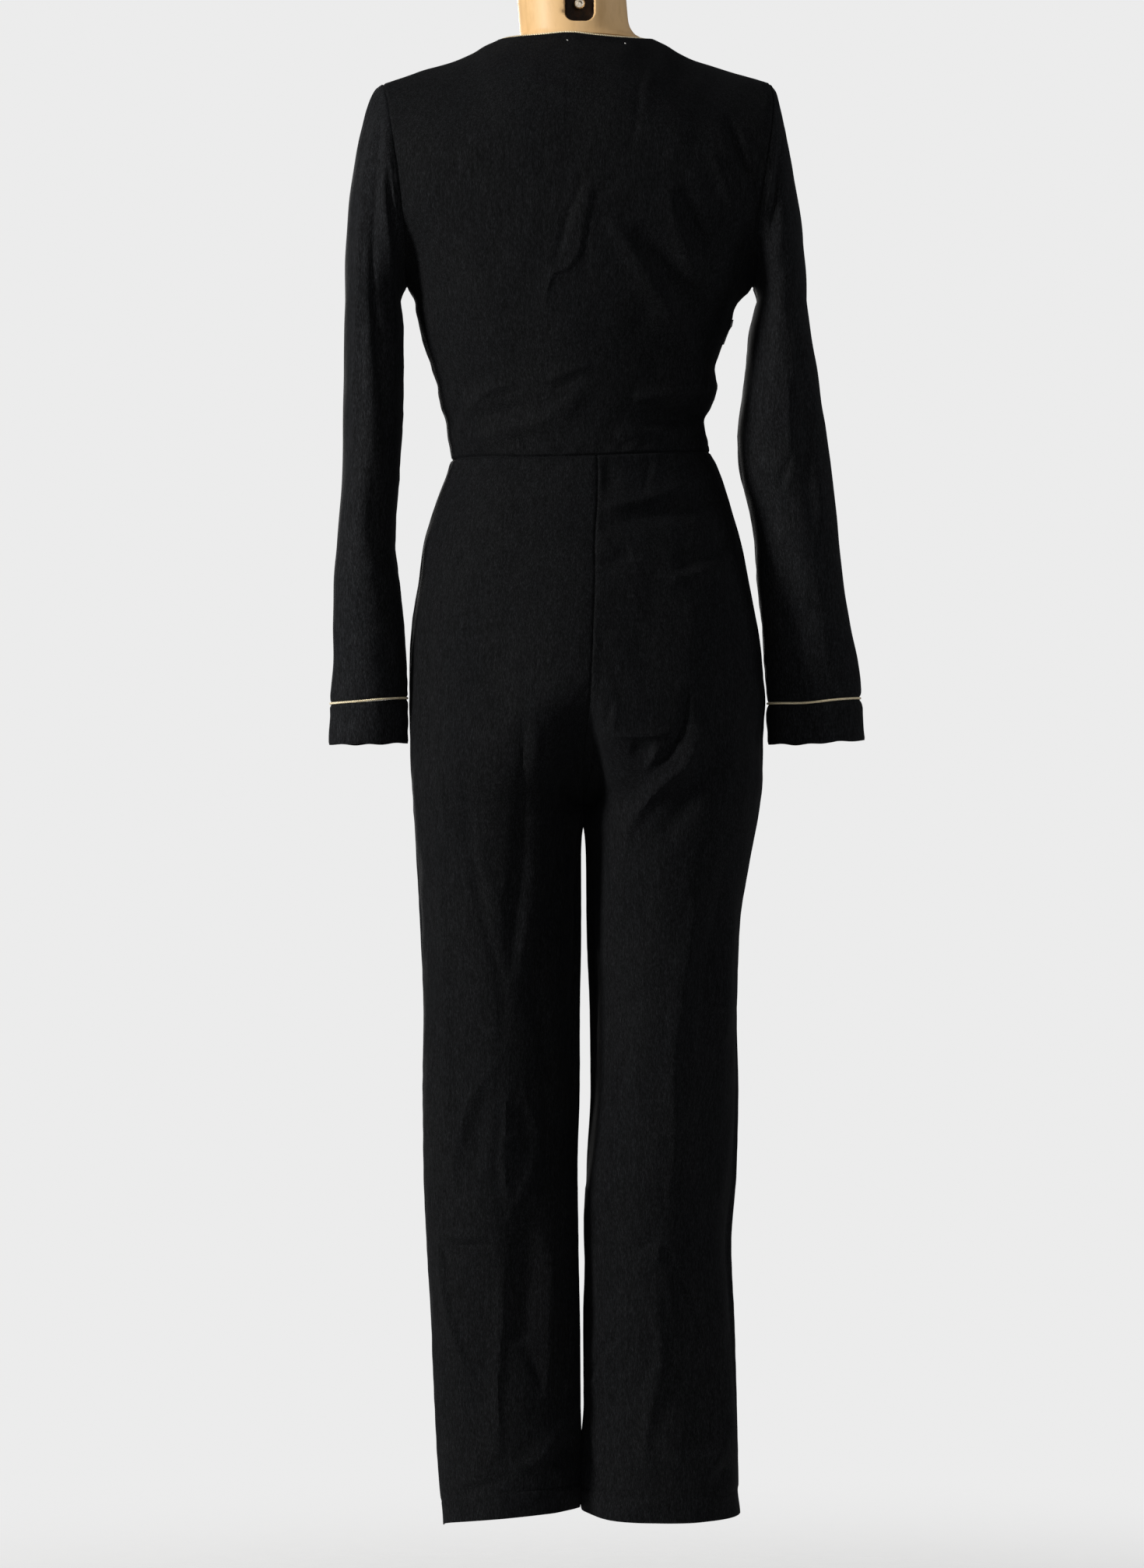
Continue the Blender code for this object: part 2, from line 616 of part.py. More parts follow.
def wall_faces(rows, columns, closed):
    """Faces of a wall: the outer grid, the inner grid and the rims between them."""
    count = rows * columns
    spans = columns if closed else columns - 1

    def vertex(row, column, inner):
        return row * columns + column % columns + (count if inner else 0)

    faces = []
    for inner in (False, True):
        for row in range(rows - 1):
            for column in range(spans):
                faces.append((vertex(row, column, inner), vertex(row, column + 1, inner),
                              vertex(row + 1, column + 1, inner), vertex(row + 1, column, inner)))
    for row in (0, rows - 1):
        for column in range(spans):
            faces.append((vertex(row, column, False), vertex(row, column + 1, False),
                          vertex(row, column + 1, True), vertex(row, column, True)))
    if not closed:
        for column in (0, columns - 1):
            for row in range(rows - 1):
                faces.append((vertex(row, column, False), vertex(row + 1, column, False),
                              vertex(row + 1, column, True), vertex(row, column, True)))
    return faces


def make_wall(name, outer, inward, closed, material):
    """A cloth wall between the outer points and the same points moved in."""
    inner = outer - inward * CLOTH
    points = np.concatenate([outer.reshape(-1, 3), inner.reshape(-1, 3)])
    faces = wall_faces(outer.shape[0], outer.shape[1], closed)
    return finish_mesh(name, points.tolist(), faces, material)


def make_bodice(name, facing, folds, material):
    """The bodice back or front."""
    grid = bodice_grid(facing)
    normals = grid_normals(grid, False, np.array([0.0, 0.0, 1.2]))
    last = grid.shape[1] - 1
    shoulder = np.abs(bodice_columns()) > neck_share() - 1e-6
    flatten(normals, (0,), 2)
    for column in (0, last):
        flatten(normals, (slice(0, BODY_ROWS + 1), column), 1)
    flatten(normals, (-1, shoulder), 1)
    relief = fold_relief(grid[..., 0], grid[..., 2], folds)
    relief[:, (0, last)] = 0.0
    relief[(0, -1), :] = 0.0
    outer = waist_warp(grid + normals * relief[..., None])
    return make_wall(name, outer, normals, False, material)


def make_leg_panel(name, side, facing, folds, material):
    """One of the four trouser panels."""
    grid, below = leg_grid(side, facing)
    middle = np.array([0.08 * SIDE_SIGN[side], 0.0, 0.5])
    normals = grid_normals(grid, False, middle)
    crotch = int(np.sum(below))
    flatten(normals, (-1,), 2)
    flatten(normals, (slice(None), -1), 1)
    flatten(normals, (slice(0, crotch + 1), 0), 1)
    flatten(normals, (slice(crotch + 1, None), 0), 0)
    relief = fold_relief(grid[..., 0], grid[..., 2], folds)
    relief[:, (0, -1)] = 0.0
    relief[-1, :] = 0.0
    outer = waist_warp(grid + normals * relief[..., None])
    return make_wall(name, outer, normals, False, material)


def make_sleeve(name, side, material):
    """A sleeve, with its folds on the back and slighter ones on the front."""
    grid = sleeve_grid(side)
    middle = np.array([0.2 * SIDE_SIGN[side], 0.0, 1.1])
    normals = grid_normals(grid, True, middle)
    flatten(normals, (0,), 0)
    flatten(normals, (-1,), 2)
    relief = fold_relief(grid[..., 0], grid[..., 2], SLEEVE_FOLDS[side])
    relief *= np.where(grid[..., 1] > 0.0, 1.0, FRONT_RELIEF)
    relief[(0, -1), :] = 0.0
    return make_wall(name, grid + normals * relief[..., None], normals, True, material)


def make_cuff(name, side, material):
    """A cuff band."""
    grid = cuff_grid(side)
    middle = np.array([0.215 * SIDE_SIGN[side], 0.0, 0.78])
    normals = grid_normals(grid, True, middle)
    flatten(normals, (slice(None),), 2)
    return make_wall(name, grid, normals, True, material)


def make_ring_cord(name, path, sideways, radius, material):
    """A closed cord along the path; sideways is a direction across the cord at each point."""
    tangent = unit(np.roll(path, -1, axis=0) - np.roll(path, 1, axis=0))
    first = unit(sideways - tangent * np.sum(sideways * tangent, axis=1, keepdims=True))
    second = np.cross(tangent, first)
    points = []
    for k in range(PIPING_SIDES):
        turn = 2.0 * math.pi * k / PIPING_SIDES
        points.append(path + radius * (math.cos(turn) * first + math.sin(turn) * second))
    points = np.stack(points, axis=1)
    count = len(path)
    faces = []
    for i in range(count):
        for k in range(PIPING_SIDES):
            after = (i + 1) % count
            turn = (k + 1) % PIPING_SIDES
            faces.append((i * PIPING_SIDES + k, after * PIPING_SIDES + k,
                          after * PIPING_SIDES + turn, i * PIPING_SIDES + turn))
    return finish_mesh(name, points.reshape(-1, 3).tolist(), faces, material, sharp=80.0)


def neck_edge(facing):
    """Mid-wall points of the neck edge with the surface normals there."""
    grid = bodice_grid(facing)
    normals = grid_normals(grid, False, np.array([0.0, 0.0, 1.2]))
    shoulder = np.abs(bodice_columns()) > neck_share() - 1e-6
    flatten(normals, (-1, shoulder), 1)
    neck = np.abs(bodice_columns()) < neck_share() + 1e-6
    return (grid[-1] - 0.5 * CLOTH * normals[-1])[neck], normals[-1][neck]


def make_neck_piping(material):
    """The cord that stands on the neck edge, round the nape and down the V."""
    back, back_normals = neck_edge(1.0)
    front, front_normals = neck_edge(-1.0)
    path = np.concatenate([back, front[-2:0:-1]])
    normals = np.concatenate([back_normals, front_normals[-2:0:-1]])
    tangent = unit(np.roll(path, -1, axis=0) - np.roll(path, 1, axis=0))
    upward = unit(np.cross(normals, tangent))
    if np.mean(upward[:, 2]) < 0.0:
        upward = -upward
    path = path + upward * (PIPING_RADIUS + 1.5 * SEAM)
    return make_ring_cord("piping_neck", path, upward, PIPING_RADIUS, material)


def make_cuff_piping(name, side, material):
    """The cord set between a sleeve and its cuff."""
    ring = sleeve_ring(side, 0.5 * (SLEEVE_END + CUFF_TOP))
    centre = ring.mean(axis=0)
    outward = unit(ring - centre)
    path = ring - outward * CUFF_PIPING_SINK * CLOTH
    return make_ring_cord(name, path, outward, CUFF_PIPING_RADIUS, material)


def make_zip_slider(material):
    """The slider and its hanging pull, on the right side seam, moved out from the panels."""
    rows = (
        # height, half width along the seam's two sides, thickness
        (ZIP_TOP, 0.0022, 0.0022),
        (ZIP_TOP - 0.0060, 0.0030, 0.0030),
        (ZIP_TOP - 0.0100, 0.0018, 0.0018),
        (ZIP_BOTTOM + 0.0060, 0.0024, 0.0014),
        (ZIP_BOTTOM, 0.0016, 0.0012),
    )
    points = []
    for height, half, thick in rows:
        edge = bodice_point(np.array([-1.0]), np.array([height]), 1.0)[0]
        base = edge[0] - 2.0 * SEAM
        for x, y in ((base, -half), (base, half), (base - thick, half), (base - thick, -half)):
            points.append((x, y, height))
    faces = [(0, 1, 2, 3), tuple(range(4 * len(rows) - 4, 4 * len(rows)))]
    for row in range(len(rows) - 1):
        for k in range(4):
            low = 4 * row
            turn = (k + 1) % 4
            faces.append((low + k, low + turn, low + 4 + turn, low + 4 + k))
    return finish_mesh("zip_slider", points, faces, material)


# ---- Torso form ----
def body_depth(x, height, facing):
    """How far the garment stands out from y = 0 at a place x from its centre line."""
    if height >= WAIST:
        wrap = wrap_angle(height)
        limit = np.sin(wrap)
        reach = np.clip(x * limit / BODICE["half_width"](height), -limit, limit)
        across = np.arcsin(reach) / wrap
        depth = BODICE["back"](height) if facing > 0 else BODICE["front"](height)
        ridge = SHOULDER(np.abs(x)) - height
        return depth * section_depth(across, height) * shoulder_cap(ridge)
    half = 0.5 * (TROUSER["left_out"](height) - TROUSER["right_out"](height))
    depth = TROUSER["back"](height) if facing > 0 else TROUSER["front"](height)
    return depth * np.sqrt(np.clip(1.0 - (x / half) ** 2, 0.0, 1.0))


def shoulder_reach(height):
    """How far from the centre the shoulder line stands at this height."""
    reach = np.linspace(0.0, 0.21, 421)
    return float(np.interp(-height, -SHOULDER(reach), reach))


def form_row(height):
    """Half width and centre of the form at one height."""
    if height < WAIST:
        left = TROUSER["left_out"](height)
        right = TROUSER["right_out"](height)
        return 0.5 * (left - right) - CLOTH - FORM_CLEAR, 0.5 * (left + right)
    lean = float(BODICE["lean"](height))
    half = BODICE["half_width"](height) - CLOTH - FORM_CLEAR
    if height > NECK_BASE - 1e-6:
        flare = max(0.0, 1.0 - (height - NECK_BASE) / NECK_FLARE_HEIGHT)
        return NECK_HALF_WIDTH + NECK_FLARE * flare, lean
    return min(half, shoulder_reach(height + CLOTH + FORM_SEAT)), lean


def cloth_half(height):
    """Half width of the garment's body at one height, up to the neck."""
    if height < WAIST:
        return 0.5 * (TROUSER["left_out"](height) - TROUSER["right_out"](height))
    return min(float(BODICE["half_width"](height)), shoulder_reach(height))


def form_ring(height):
    """Points round the form at one height."""
    half, centre = form_row(height)
    ends = 0.5 * math.pi * np.linspace(-1.0, 1.0, FORM_HALF_COLUMNS)
    x = half * np.sin(ends)
    sides = []
    for facing in (1.0, -1.0):
        if height < NECK_BASE + NECK_FLARE_HEIGHT - 1e-6:
            level = height + (FORM_DROP if height > WAIST else 0.0)
            place = x * max(1.0, cloth_half(level) / half)
            middle = body_depth(0.0, level, facing)
            y = body_depth(place, level, facing) * (1.0 - (CLOTH + FORM_CLEAR) / middle)
            y = y - (FORM_EDGE if height > SHOULDER_TIP else 0.0)
        else:
            y = NECK_HALF_DEPTH * np.cos(ends)
        y = np.maximum(y, FORM_EDGE)
        sides.append(np.stack([x + centre, facing * y, np.full_like(x, height)], axis=-1))
    return np.concatenate([sides[0], sides[1][::-1]])


FORM_LEVELS = (
    0.796, 0.820, 0.850, 0.900, 0.950, 1.000, 1.034, 1.070, 1.110, 1.150, 1.180, 1.203,
    1.240, 1.280, 1.320, 1.355, 1.380, 1.392, 1.400, 1.407, 1.413, 1.419, 1.425, 1.431, 1.435,
    1.438, 1.448, 1.462, 1.480, 1.497,
)


def drawn_in(ring, share, height):
    """The ring made smaller about its middle and put at another height."""
    middle = ring.mean(axis=0)
    smaller = middle + (ring - middle) * share
    smaller[:, 2] = height
    return smaller


def make_form(material):
    """The smooth torso, from below the seat to the top of the neck, with a slot at the nape."""
    rings = [form_ring(height) for height in FORM_LEVELS]
    low = drawn_in(rings[0], FORM_END_SHARE, FORM_LEVELS[0] - FORM_END_ROUND)
    top = drawn_in(form_ring(NECK_TOP), NECK_END_SHARE, NECK_TOP)
    rings = [low] + rings + [top]
    count = len(rings[0])
    points = np.concatenate(rings)
    faces = [tuple(range(count)), tuple(range(len(points) - count, len(points)))]
    for row in range(len(rings) - 1):
        for k in range(count):
            after = (k + 1) % count
            faces.append((row * count + k, row * count + after,
                          (row + 1) * count + after, (row + 1) * count + k))
    form = finish_mesh("form_torso", points.tolist(), faces, material)
    slot = form.modifiers.new("slot", "BOOLEAN")
    slot.operation = "DIFFERENCE"
    slot.solver = "EXACT"
    slot.object = make_slot_cutter()
    return form


def make_slot_cutter():
    """The shape of the slot: upright, with a rounded bottom, open at the top of the neck."""
    outline = []
    for side, turns in ((-1.0, (180, 210, 240, 270)), (1.0, (270, 300, 330, 360))):
        for turn in turns:
            angle = math.radians(turn)
            corner_x = SLOT_CENTRE_X + side * (SLOT_HALF_WIDTH - SLOT_CORNER)
            outline.append((corner_x + SLOT_CORNER * math.cos(angle),
                            SLOT_BOTTOM + SLOT_CORNER * (1.0 + math.sin(angle))))
    outline.append((SLOT_CENTRE_X + SLOT_HALF_WIDTH, NECK_TOP + SLOT_OPENING))
    outline.append((SLOT_CENTRE_X - SLOT_HALF_WIDTH, NECK_TOP + SLOT_OPENING))
    count = len(outline)
    points = [(x, SLOT_FLOOR_Y, z) for x, z in outline]
    points += [(x, NECK_HALF_DEPTH + SLOT_OPENING, z) for x, z in outline]
    faces = [tuple(range(count)), tuple(range(count, 2 * count))]
    for k in range(count):
        after = (k + 1) % count
        faces.append((k, after, count + after, count + k))
    cutter = finish_mesh("slot_cutter", points, faces, make_material("cutter", STEEL, 0.5))
    cutter.hide_render = True
    cutter.display_type = "WIRE"
    return cutter


def make_bolt(material):
    """A socket-headed bolt on the floor of the slot, turned about the y axis."""
    profile = (
        # radius, distance out from the slot's floor
        (BOLT_RADIUS, SEAM),
        (BOLT_RADIUS, BOLT_LENGTH - BOLT_CHAMFER),
        (BOLT_RADIUS - BOLT_CHAMFER, BOLT_LENGTH),
        (0.5 * BOLT_RADIUS, BOLT_LENGTH),
        (0.5 * BOLT_RADIUS, BOLT_SOCKET),
    )
    points = []
    faces = []
    for radius, out in profile:
        for k in range(BOLT_SIDES):
            turn = 2.0 * math.pi * k / BOLT_SIDES
            points.append((SLOT_CENTRE_X + radius * math.cos(turn), SLOT_FLOOR_Y + out,
                           BOLT_HEIGHT + radius * math.sin(turn)))
    rings = len(profile)
    for ring in range(rings - 1):
        for k in range(BOLT_SIDES):
            after = (k + 1) % BOLT_SIDES
            faces.append((ring * BOLT_SIDES + k, ring * BOLT_SIDES + after,
                          (ring + 1) * BOLT_SIDES + after, (ring + 1) * BOLT_SIDES + k))
    faces.append(tuple(range(BOLT_SIDES)))
    faces.append(tuple(range((rings - 1) * BOLT_SIDES, rings * BOLT_SIDES)))
    return finish_mesh("form_bolt", points, faces, material, sharp=40.0)


def make_hook(material):
    """The wire hook: a foot on the neck, a stem and an open bend round the origin's rail."""
    bend_height = HOOK_HEIGHT - HOOK_BEND_RADIUS + HOOK_WIRE_RADIUS
    foot = NECK_TOP + SEAM
    stem = [(HOOK_BEND_RADIUS, foot + step) for step in (0.0, 0.003, 0.020, 0.040)]
    bend = []
    for turn in range(0, HOOK_BEND_DEGREES + 1, 20):
        angle = math.radians(turn)
        bend.append((HOOK_BEND_RADIUS * math.cos(angle),
                     bend_height + HOOK_BEND_RADIUS * math.sin(angle)))
    curve = bpy.data.curves.new("form_hook", "CURVE")
    curve.dimensions = "3D"
    curve.bevel_depth = HOOK_WIRE_RADIUS
    curve.bevel_resolution = 2
    curve.use_fill_caps = True
    route = stem + bend
    spline = curve.splines.new("POLY")
    spline.points.add(len(route) - 1)
    for point, (x, z) in zip(spline.points, route):
        point.co = (x, 0.0, z - HOOK_HEIGHT, 1.0)
    curve.materials.append(material)
    hook = bpy.data.objects.new("form_hook", curve)
    bpy.context.scene.collection.objects.link(hook)
    return hook


def build():
    """All the pieces."""
    clear_scene()
    for name, facing, folds in (("bodice_back", 1.0, BODICE_BACK_FOLDS),
                                ("bodice_front", -1.0, BODICE_FRONT_FOLDS)):
        make_bodice(name, facing, folds, make_material(name, CREPE, 0.85))
    for side in ("left", "right"):
        for face_name, facing, folds in (("back", 1.0, TROUSER_BACK_FOLDS),
                                         ("front", -1.0, TROUSER_FRONT_FOLDS)):
            name = "trouser_" + face_name + "_" + side
            make_leg_panel(name, side, facing, folds, make_material(name, CREPE, 0.85))
        make_sleeve("sleeve_" + side, side, make_material("sleeve_" + side, CREPE, 0.85))
        make_cuff("cuff_" + side, side, make_material("cuff_" + side, CREPE, 0.85))
        cord_name = "piping_cuff_" + side
        make_cuff_piping(cord_name, side, make_material(cord_name, GOLD_CORD, 0.5))
    make_neck_piping(make_material("piping_neck", GOLD_CORD, 0.5))
    make_zip_slider(make_material("zip_slider", DARK_METAL, 0.4, 1.0))
    make_form(make_material("form_torso", FORM_TAN, 0.25))
    make_bolt(make_material("form_bolt", STEEL, 0.3, 1.0))
    make_hook(make_material("form_hook", STEEL, 0.3, 1.0))


build()
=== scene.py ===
"""Looks of the long-sleeved jumpsuit and of the hanging torso form that wears it.

Heights in the tables are measured up from the trouser hem, in metres. Every point is moved down
by HOOK_HEIGHT when its mesh is made, so the origin is the inside of the hook, where it hangs.
+X is the wearer's left, the front of the garment faces -Y and +Z is up. Each cloth piece is a
thin shell on the form of its solid, with its creases laid on as soft ridges and troughs.
"""
import math

import bpy
import numpy as np
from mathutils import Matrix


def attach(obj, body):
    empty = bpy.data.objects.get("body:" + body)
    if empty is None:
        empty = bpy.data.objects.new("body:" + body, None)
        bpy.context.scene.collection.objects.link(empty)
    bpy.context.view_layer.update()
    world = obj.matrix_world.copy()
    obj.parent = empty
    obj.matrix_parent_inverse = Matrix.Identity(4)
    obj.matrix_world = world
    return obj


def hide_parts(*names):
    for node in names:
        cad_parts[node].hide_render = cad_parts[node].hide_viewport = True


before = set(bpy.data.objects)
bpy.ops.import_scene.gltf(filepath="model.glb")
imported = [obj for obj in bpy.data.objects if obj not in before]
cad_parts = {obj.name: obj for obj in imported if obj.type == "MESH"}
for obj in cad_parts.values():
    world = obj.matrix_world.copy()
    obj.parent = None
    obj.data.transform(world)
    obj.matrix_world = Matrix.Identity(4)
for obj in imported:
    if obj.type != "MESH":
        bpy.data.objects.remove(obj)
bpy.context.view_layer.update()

# ---- Driving dimensions (metres) ----
MM = 0.001
HOOK_HEIGHT = 1.5775
CLOTH = 0.0014
SEAM = 0.00006
WAIST = 1.0340
CROTCH = 0.7000
SEAT_TOP = 0.8400
# how suddenly the columns turn in to a centre seam, and by how many radians they may pass it
SEAM_POWER = 6
PAST_SEAM = 0.2
UNDERARM = 1.2030
NAPE = 1.4400
NECK_POINT_X = 0.0750
NECK_POINT = 1.4435
V_BOTTOM = 1.2700
# round of the shoulder cap and of the armhole, and how the sections close at the sides
SHOULDER_ROUND = 0.1100
ARMHOLE_TURN = 0.0750
CLOSING_POWER = 8
CLOSING_EDGE_POWER = 26
CLOSING_START = 0.0200
UNDERARM_FLARE = 0.0080
FLARE_BELOW = 0.0100
FLARE_ABOVE = 0.0300
FLARE_POWER = 7
SLEEVE_TOP = 1.1900
SLEEVE_END = 0.8027
# slopes (out, back, up) where a sleeve leaves the armhole and where it arrives at SLEEVE_TOP
SLEEVE_LEAVE = {"left": (0.3900, 0.0000, -0.2300), "right": (0.1700, 0.0000, -0.2300)}
SLEEVE_ARRIVE = (0.0000, 0.0000, -0.9300)
CUFF_TOP = 0.8003
# heights of a cuff's lower edge, inner and outer; lift of a hem: inner, outer, middle of the back
CUFF_END = {"left": (0.7630, 0.7590), "right": (0.7620, 0.7620)}
HEM = {"left": (0.0182, 0.0000, 0.0070), "right": (0.0160, 0.0125, -0.0035)}
HEM_FADE = 0.3000
PIPING_RADIUS = 0.0015
CUFF_PIPING_RADIUS = 0.0012
CUFF_PIPING_SINK = 0.4000
# the form: its gap to the cloth, its neck, the hollow that clears the seat, the slot at the nape
FORM_CLEAR = 0.0080
FORM_SEAT = 0.0018
FORM_DROP = 0.0050
FORM_EDGE = 0.0020
SHOULDER_TIP = 1.3950
NECK_BASE = 1.4380
NECK_FLARE = 0.0090
NECK_FLARE_HEIGHT = 0.0100
NECK_TOP = 1.5000
NECK_BLEND_TOP = 1.4430
NECK_SWEEP = 0.0130
NECK_SWEEP_REACH = 0.0125
NECK_SWEEP_LOW = 0.0030
FORM_HOLLOW = 0.0140
FORM_HOLLOW_HEIGHT = 0.8000
FORM_HOLLOW_TALL = 0.0300
FORM_HOLLOW_WIDE = 0.0450
NECK_HALF_WIDTH = 0.0530
NECK_HALF_DEPTH = 0.0500
SLOT_CENTRE_X = 0.0042
SLOT_MIDDLE = 1.4800
SLOT_HALF_WIDTH = 0.0140
SLOT_BOTTOM = 1.4550
SLOT_FLOOR_Y = 0.0340
SLOT_CORNER = 0.0090

# ---- Grid sizes ----
# Counts for a back panel (1), which carries the finest creases, and for a front panel (-1).
NECK_COLUMNS = {1: 40, -1: 24}
SHOULDER_COLUMNS = {1: 52, -1: 30}
BODY_ROWS = {1: 110, -1: 54}
ARMHOLE_ROWS = 66
SLEEVE_HEAD_ROWS = 54
SLEEVE_ROWS = 104
CUFF_ROWS = 14
LEG_COLUMNS = {1: 104, -1: 48}
LEG_LEVELS = (
    # height, rows below it down to the one before: back, front
    (0.0000, {1: 0, -1: 0}),
    (0.0360, {1: 14, -1: 8}),
    (0.7000, {1: 236, -1: 110}),
    (0.8400, {1: 66, -1: 28}),
    (1.0340, {1: 72, -1: 36}),
)
SHOULDER_SAMPLES = 421
FORM_COLUMNS = 56
TINY = 1e-6
TINIEST = 1e-9
FORM_TOP_STEPS = 5
SLOT_COLUMNS = 21
SLOT_LIP_COLUMNS = 11
TACK_STEPS = 7
TACK_SIDES = 8
# how much closer rows stand at a seam, and the shares of the whole that the first ones stand at
EASE = 0.60
SEAM_PLACES = (0.0, 0.0022, 0.0050, 0.0090)
SEAM_PLACES_END = 1.5
# distance from the middle and height of a point inside each kind of piece
INSIDE = {"bodice": (0.0, 1.2), "leg": (0.080, 0.5), "sleeve": (0.200, 1.1), "cuff": (0.215, 0.78)}

# ---- Soft relief (metres) ----
CLOTH_THIN = 0.0009
NOISE_WAVES = 10
NOISE_SPREAD = (0.7, 1.35)
PATH_STEPS = 6
# past this many reaches from a crease or a sweep nothing of it is left
REACH_ENDS = 3.0
CREST_POWER = 1.15
CREST_WIDTH = 0.0140
CREST_ENDS = 0.6
# the camera's x and height, and how large a crease of the back is for one that the photo shows
VIEW_CENTRE = np.array([0.0114, 0.7205])
BACK_NEARNESS = 0.976
# seams: free cloth starts past the reach; strengths are shares of the full groove
SEAM_REACH = 0.0060
SEAM_GROOVE = 0.0012
SEAM_WIDTH = 0.0013
PUCKER_OFFSET = 0.0060
PUCKER_REACH = 0.0060
PUCKER_RISE = 0.00028
PUCKER_SIZE = 0.0160
TOP_SEAM = 0.60
LEG_SIDE_SEAM = 0.45
INSEAM_EASE = 0.75
INSEAM_TOP = 0.0200
INSEAM_FADE = 0.0600
# slack of the hanging cloth
DRAPE_RISE = 0.0011
DRAPE_SIZE = 0.0900
DRAPE_STRETCH = 2.2
RIPPLE_RISE = 0.00035
RIPPLE_SIZE = 0.0320
RIPPLE_STRETCH = 1.6
SLEEVE_DRAPE = 0.8
SLEEVE_BLEND = 0.0100
BODY_EASE = 0.0006
NECK_ROLL = 0.0030
# the waist seam, and the swell over the zip slider
WAIST_LIFT_FADE = 0.0450
WAIST_GROOVE = 1.7
SIDE_GROOVE = 0.9
SIDE_GROOVE_REACH = 0.0120
SWELL_HEIGHT = 1.1650
SWELL_TALL = 0.0130
SWELL_WIDE = 0.0160
SWELL_RISE = 0.0026
# the turned-up hem
HEM_DEPTH = 0.0230
HEM_RISE = 0.0005
HEM_EDGE = 0.0009
HEM_GROOVE = 0.0007
HEM_GROOVE_DROP = 0.0008
HEM_GROOVE_WIDTH = 0.0014
HEM_WAVE = 0.0009
HEM_WAVE_SIZE = 0.0450
# the nape edge and the two tacking stitches under it
NAPE_LIFT = 0.0026
NAPE_LIFT_X = 0.0165
NAPE_SINK = 0.0016
NAPE_SINK_X = -0.0400
NAPE_WIDE = 0.0220
NAPE_FADE = 0.0160
TACKS = ((0.0158, 1.4320), (-0.0396, 1.4302))
TACK_NEAR = 0.0040
TACK_LENGTH = 0.0016
TACK_RADIUS = 0.0005
TACK_PROUD = 0.4
TACK_SLANT = 0.2
TACK_ROUND = 1.04
# the hollow beside the centre seam, below the seat
HOLLOW_X = -0.0020
HOLLOW_LEFT = 0.0310
HOLLOW_RIGHT = 0.0135
HOLLOW_TOP = 0.8260
HOLLOW_FULL = 0.7650
HOLLOW_END = 0.6750
HOLLOW_FADE = 0.0400
HOLLOW_DEPTH = 0.0150
HOLLOW_REACH = 0.0160
HOLLOW_LET_OUT = 0.0450
# how far a leg's inner edge leans over, the height of the middle of that stretch and its reach
CLOSE_LEG = {"left": (0.0012, 0.270, 0.200), "right": (0.0020, 0.380, 0.330)}
CLOSE_HEM = (0.0012, 0.045, 0.046)
CLOSE_CROTCH = (0.0022, -0.010, 0.012)
CLOSE_CORNER = (0.0014, 0.022)
CLOSE_ACROSS = 0.0140
# join of sleeve and cuff, the cuff's wavy lower edge, the gathers of the sleeve head
CUFF_FADE = 0.0300
CUFF_FADE_BELOW = 0.6
CUFF_TILT = {"left": -0.070, "right": -0.055}
CUFF_BOW = {"left": -0.0006, "right": -0.0020}
CUFF_BOW_X = 0.0100
CUFF_BOW_WIDE = 0.0250
CUFF_SPREAD = {"left": (0.0030, -0.0012), "right": (0.0056, 0.0010)}
CUFF_HEM_TILT = {"left": 0.036, "right": -0.038}
CUFF_HEM_DROP = {"left": 0.0013, "right": 0.0006}
CUFF_HEM_WAVE = 0.0006
CUFF_HEM_PITCH = 0.0260
CUFF_HEM_PHASE = 0.9
CUFF_WAVE = 0.0010
CUFF_WAVE_SIZE = 0.0500
CUFF_EDGE_SINK = 0.0006
CUFF_EDGE_REACH = 0.0012
GATHER_PITCH = 0.0130
GATHER_REACH = 0.0420
GATHER_RISE = 0.0013
GATHER_LENGTH = 0.0450
GATHER_START = 0.0040
GATHER_DRIFT = 0.15
GATHER_DRIFT_SIZE = 0.0500
# the twisted cords
CORD_PITCH = 0.0048
CUFF_CORD_PITCH = 0.0036
CORD_STEPS = 10
CORD_SIDES = 8
# faces turned in past this cosine take the darkened yarn: painted shade between the strands
CORD_PAINTED_SHADE_LIMIT = 0.25
STRAND_SHARE = 0.52
NECK_CORD_RISE = 0.0006
NECK_CORD_SINK = 0.0014
# finish of the form
SLOT_LIP = 0.0014
SLOT_INNER = 0.9
SLOT_LIP_REACH = 1.5
# share of the slot's depth past which faces take the near-black painted shade
SLOT_SHADE_SHARE = 0.55
FORM_TOP_ROUND = 0.0030
FORM_LOW_EDGE = (
    # share of the lowest ring, drop below it
    (0.860, 0.0062),
    (0.920, 0.0052),
    (0.965, 0.0034),
    (0.990, 0.0014),
)
FORM_SPANS = (
    # from, to, rows
    (0.796, 1.034, 20),
    (1.034, 1.320, 24),
    (1.320, 1.438, 30),
    (1.438, 1.449, 7),
    (1.449, 1.467, 32),
    (1.467, 1.497, 14),
)

# ---- Looks and stage ----
CLOTH_TONE = 1.19
# sleeves and cuffs are painted lighter than the body, the left more than the right: painted light from
# the key lamp on the left
SLEEVE_PAINTED_LIGHT = {"left": 1.95, "right": 1.66}
GRAIN_SHIFT = 0.1
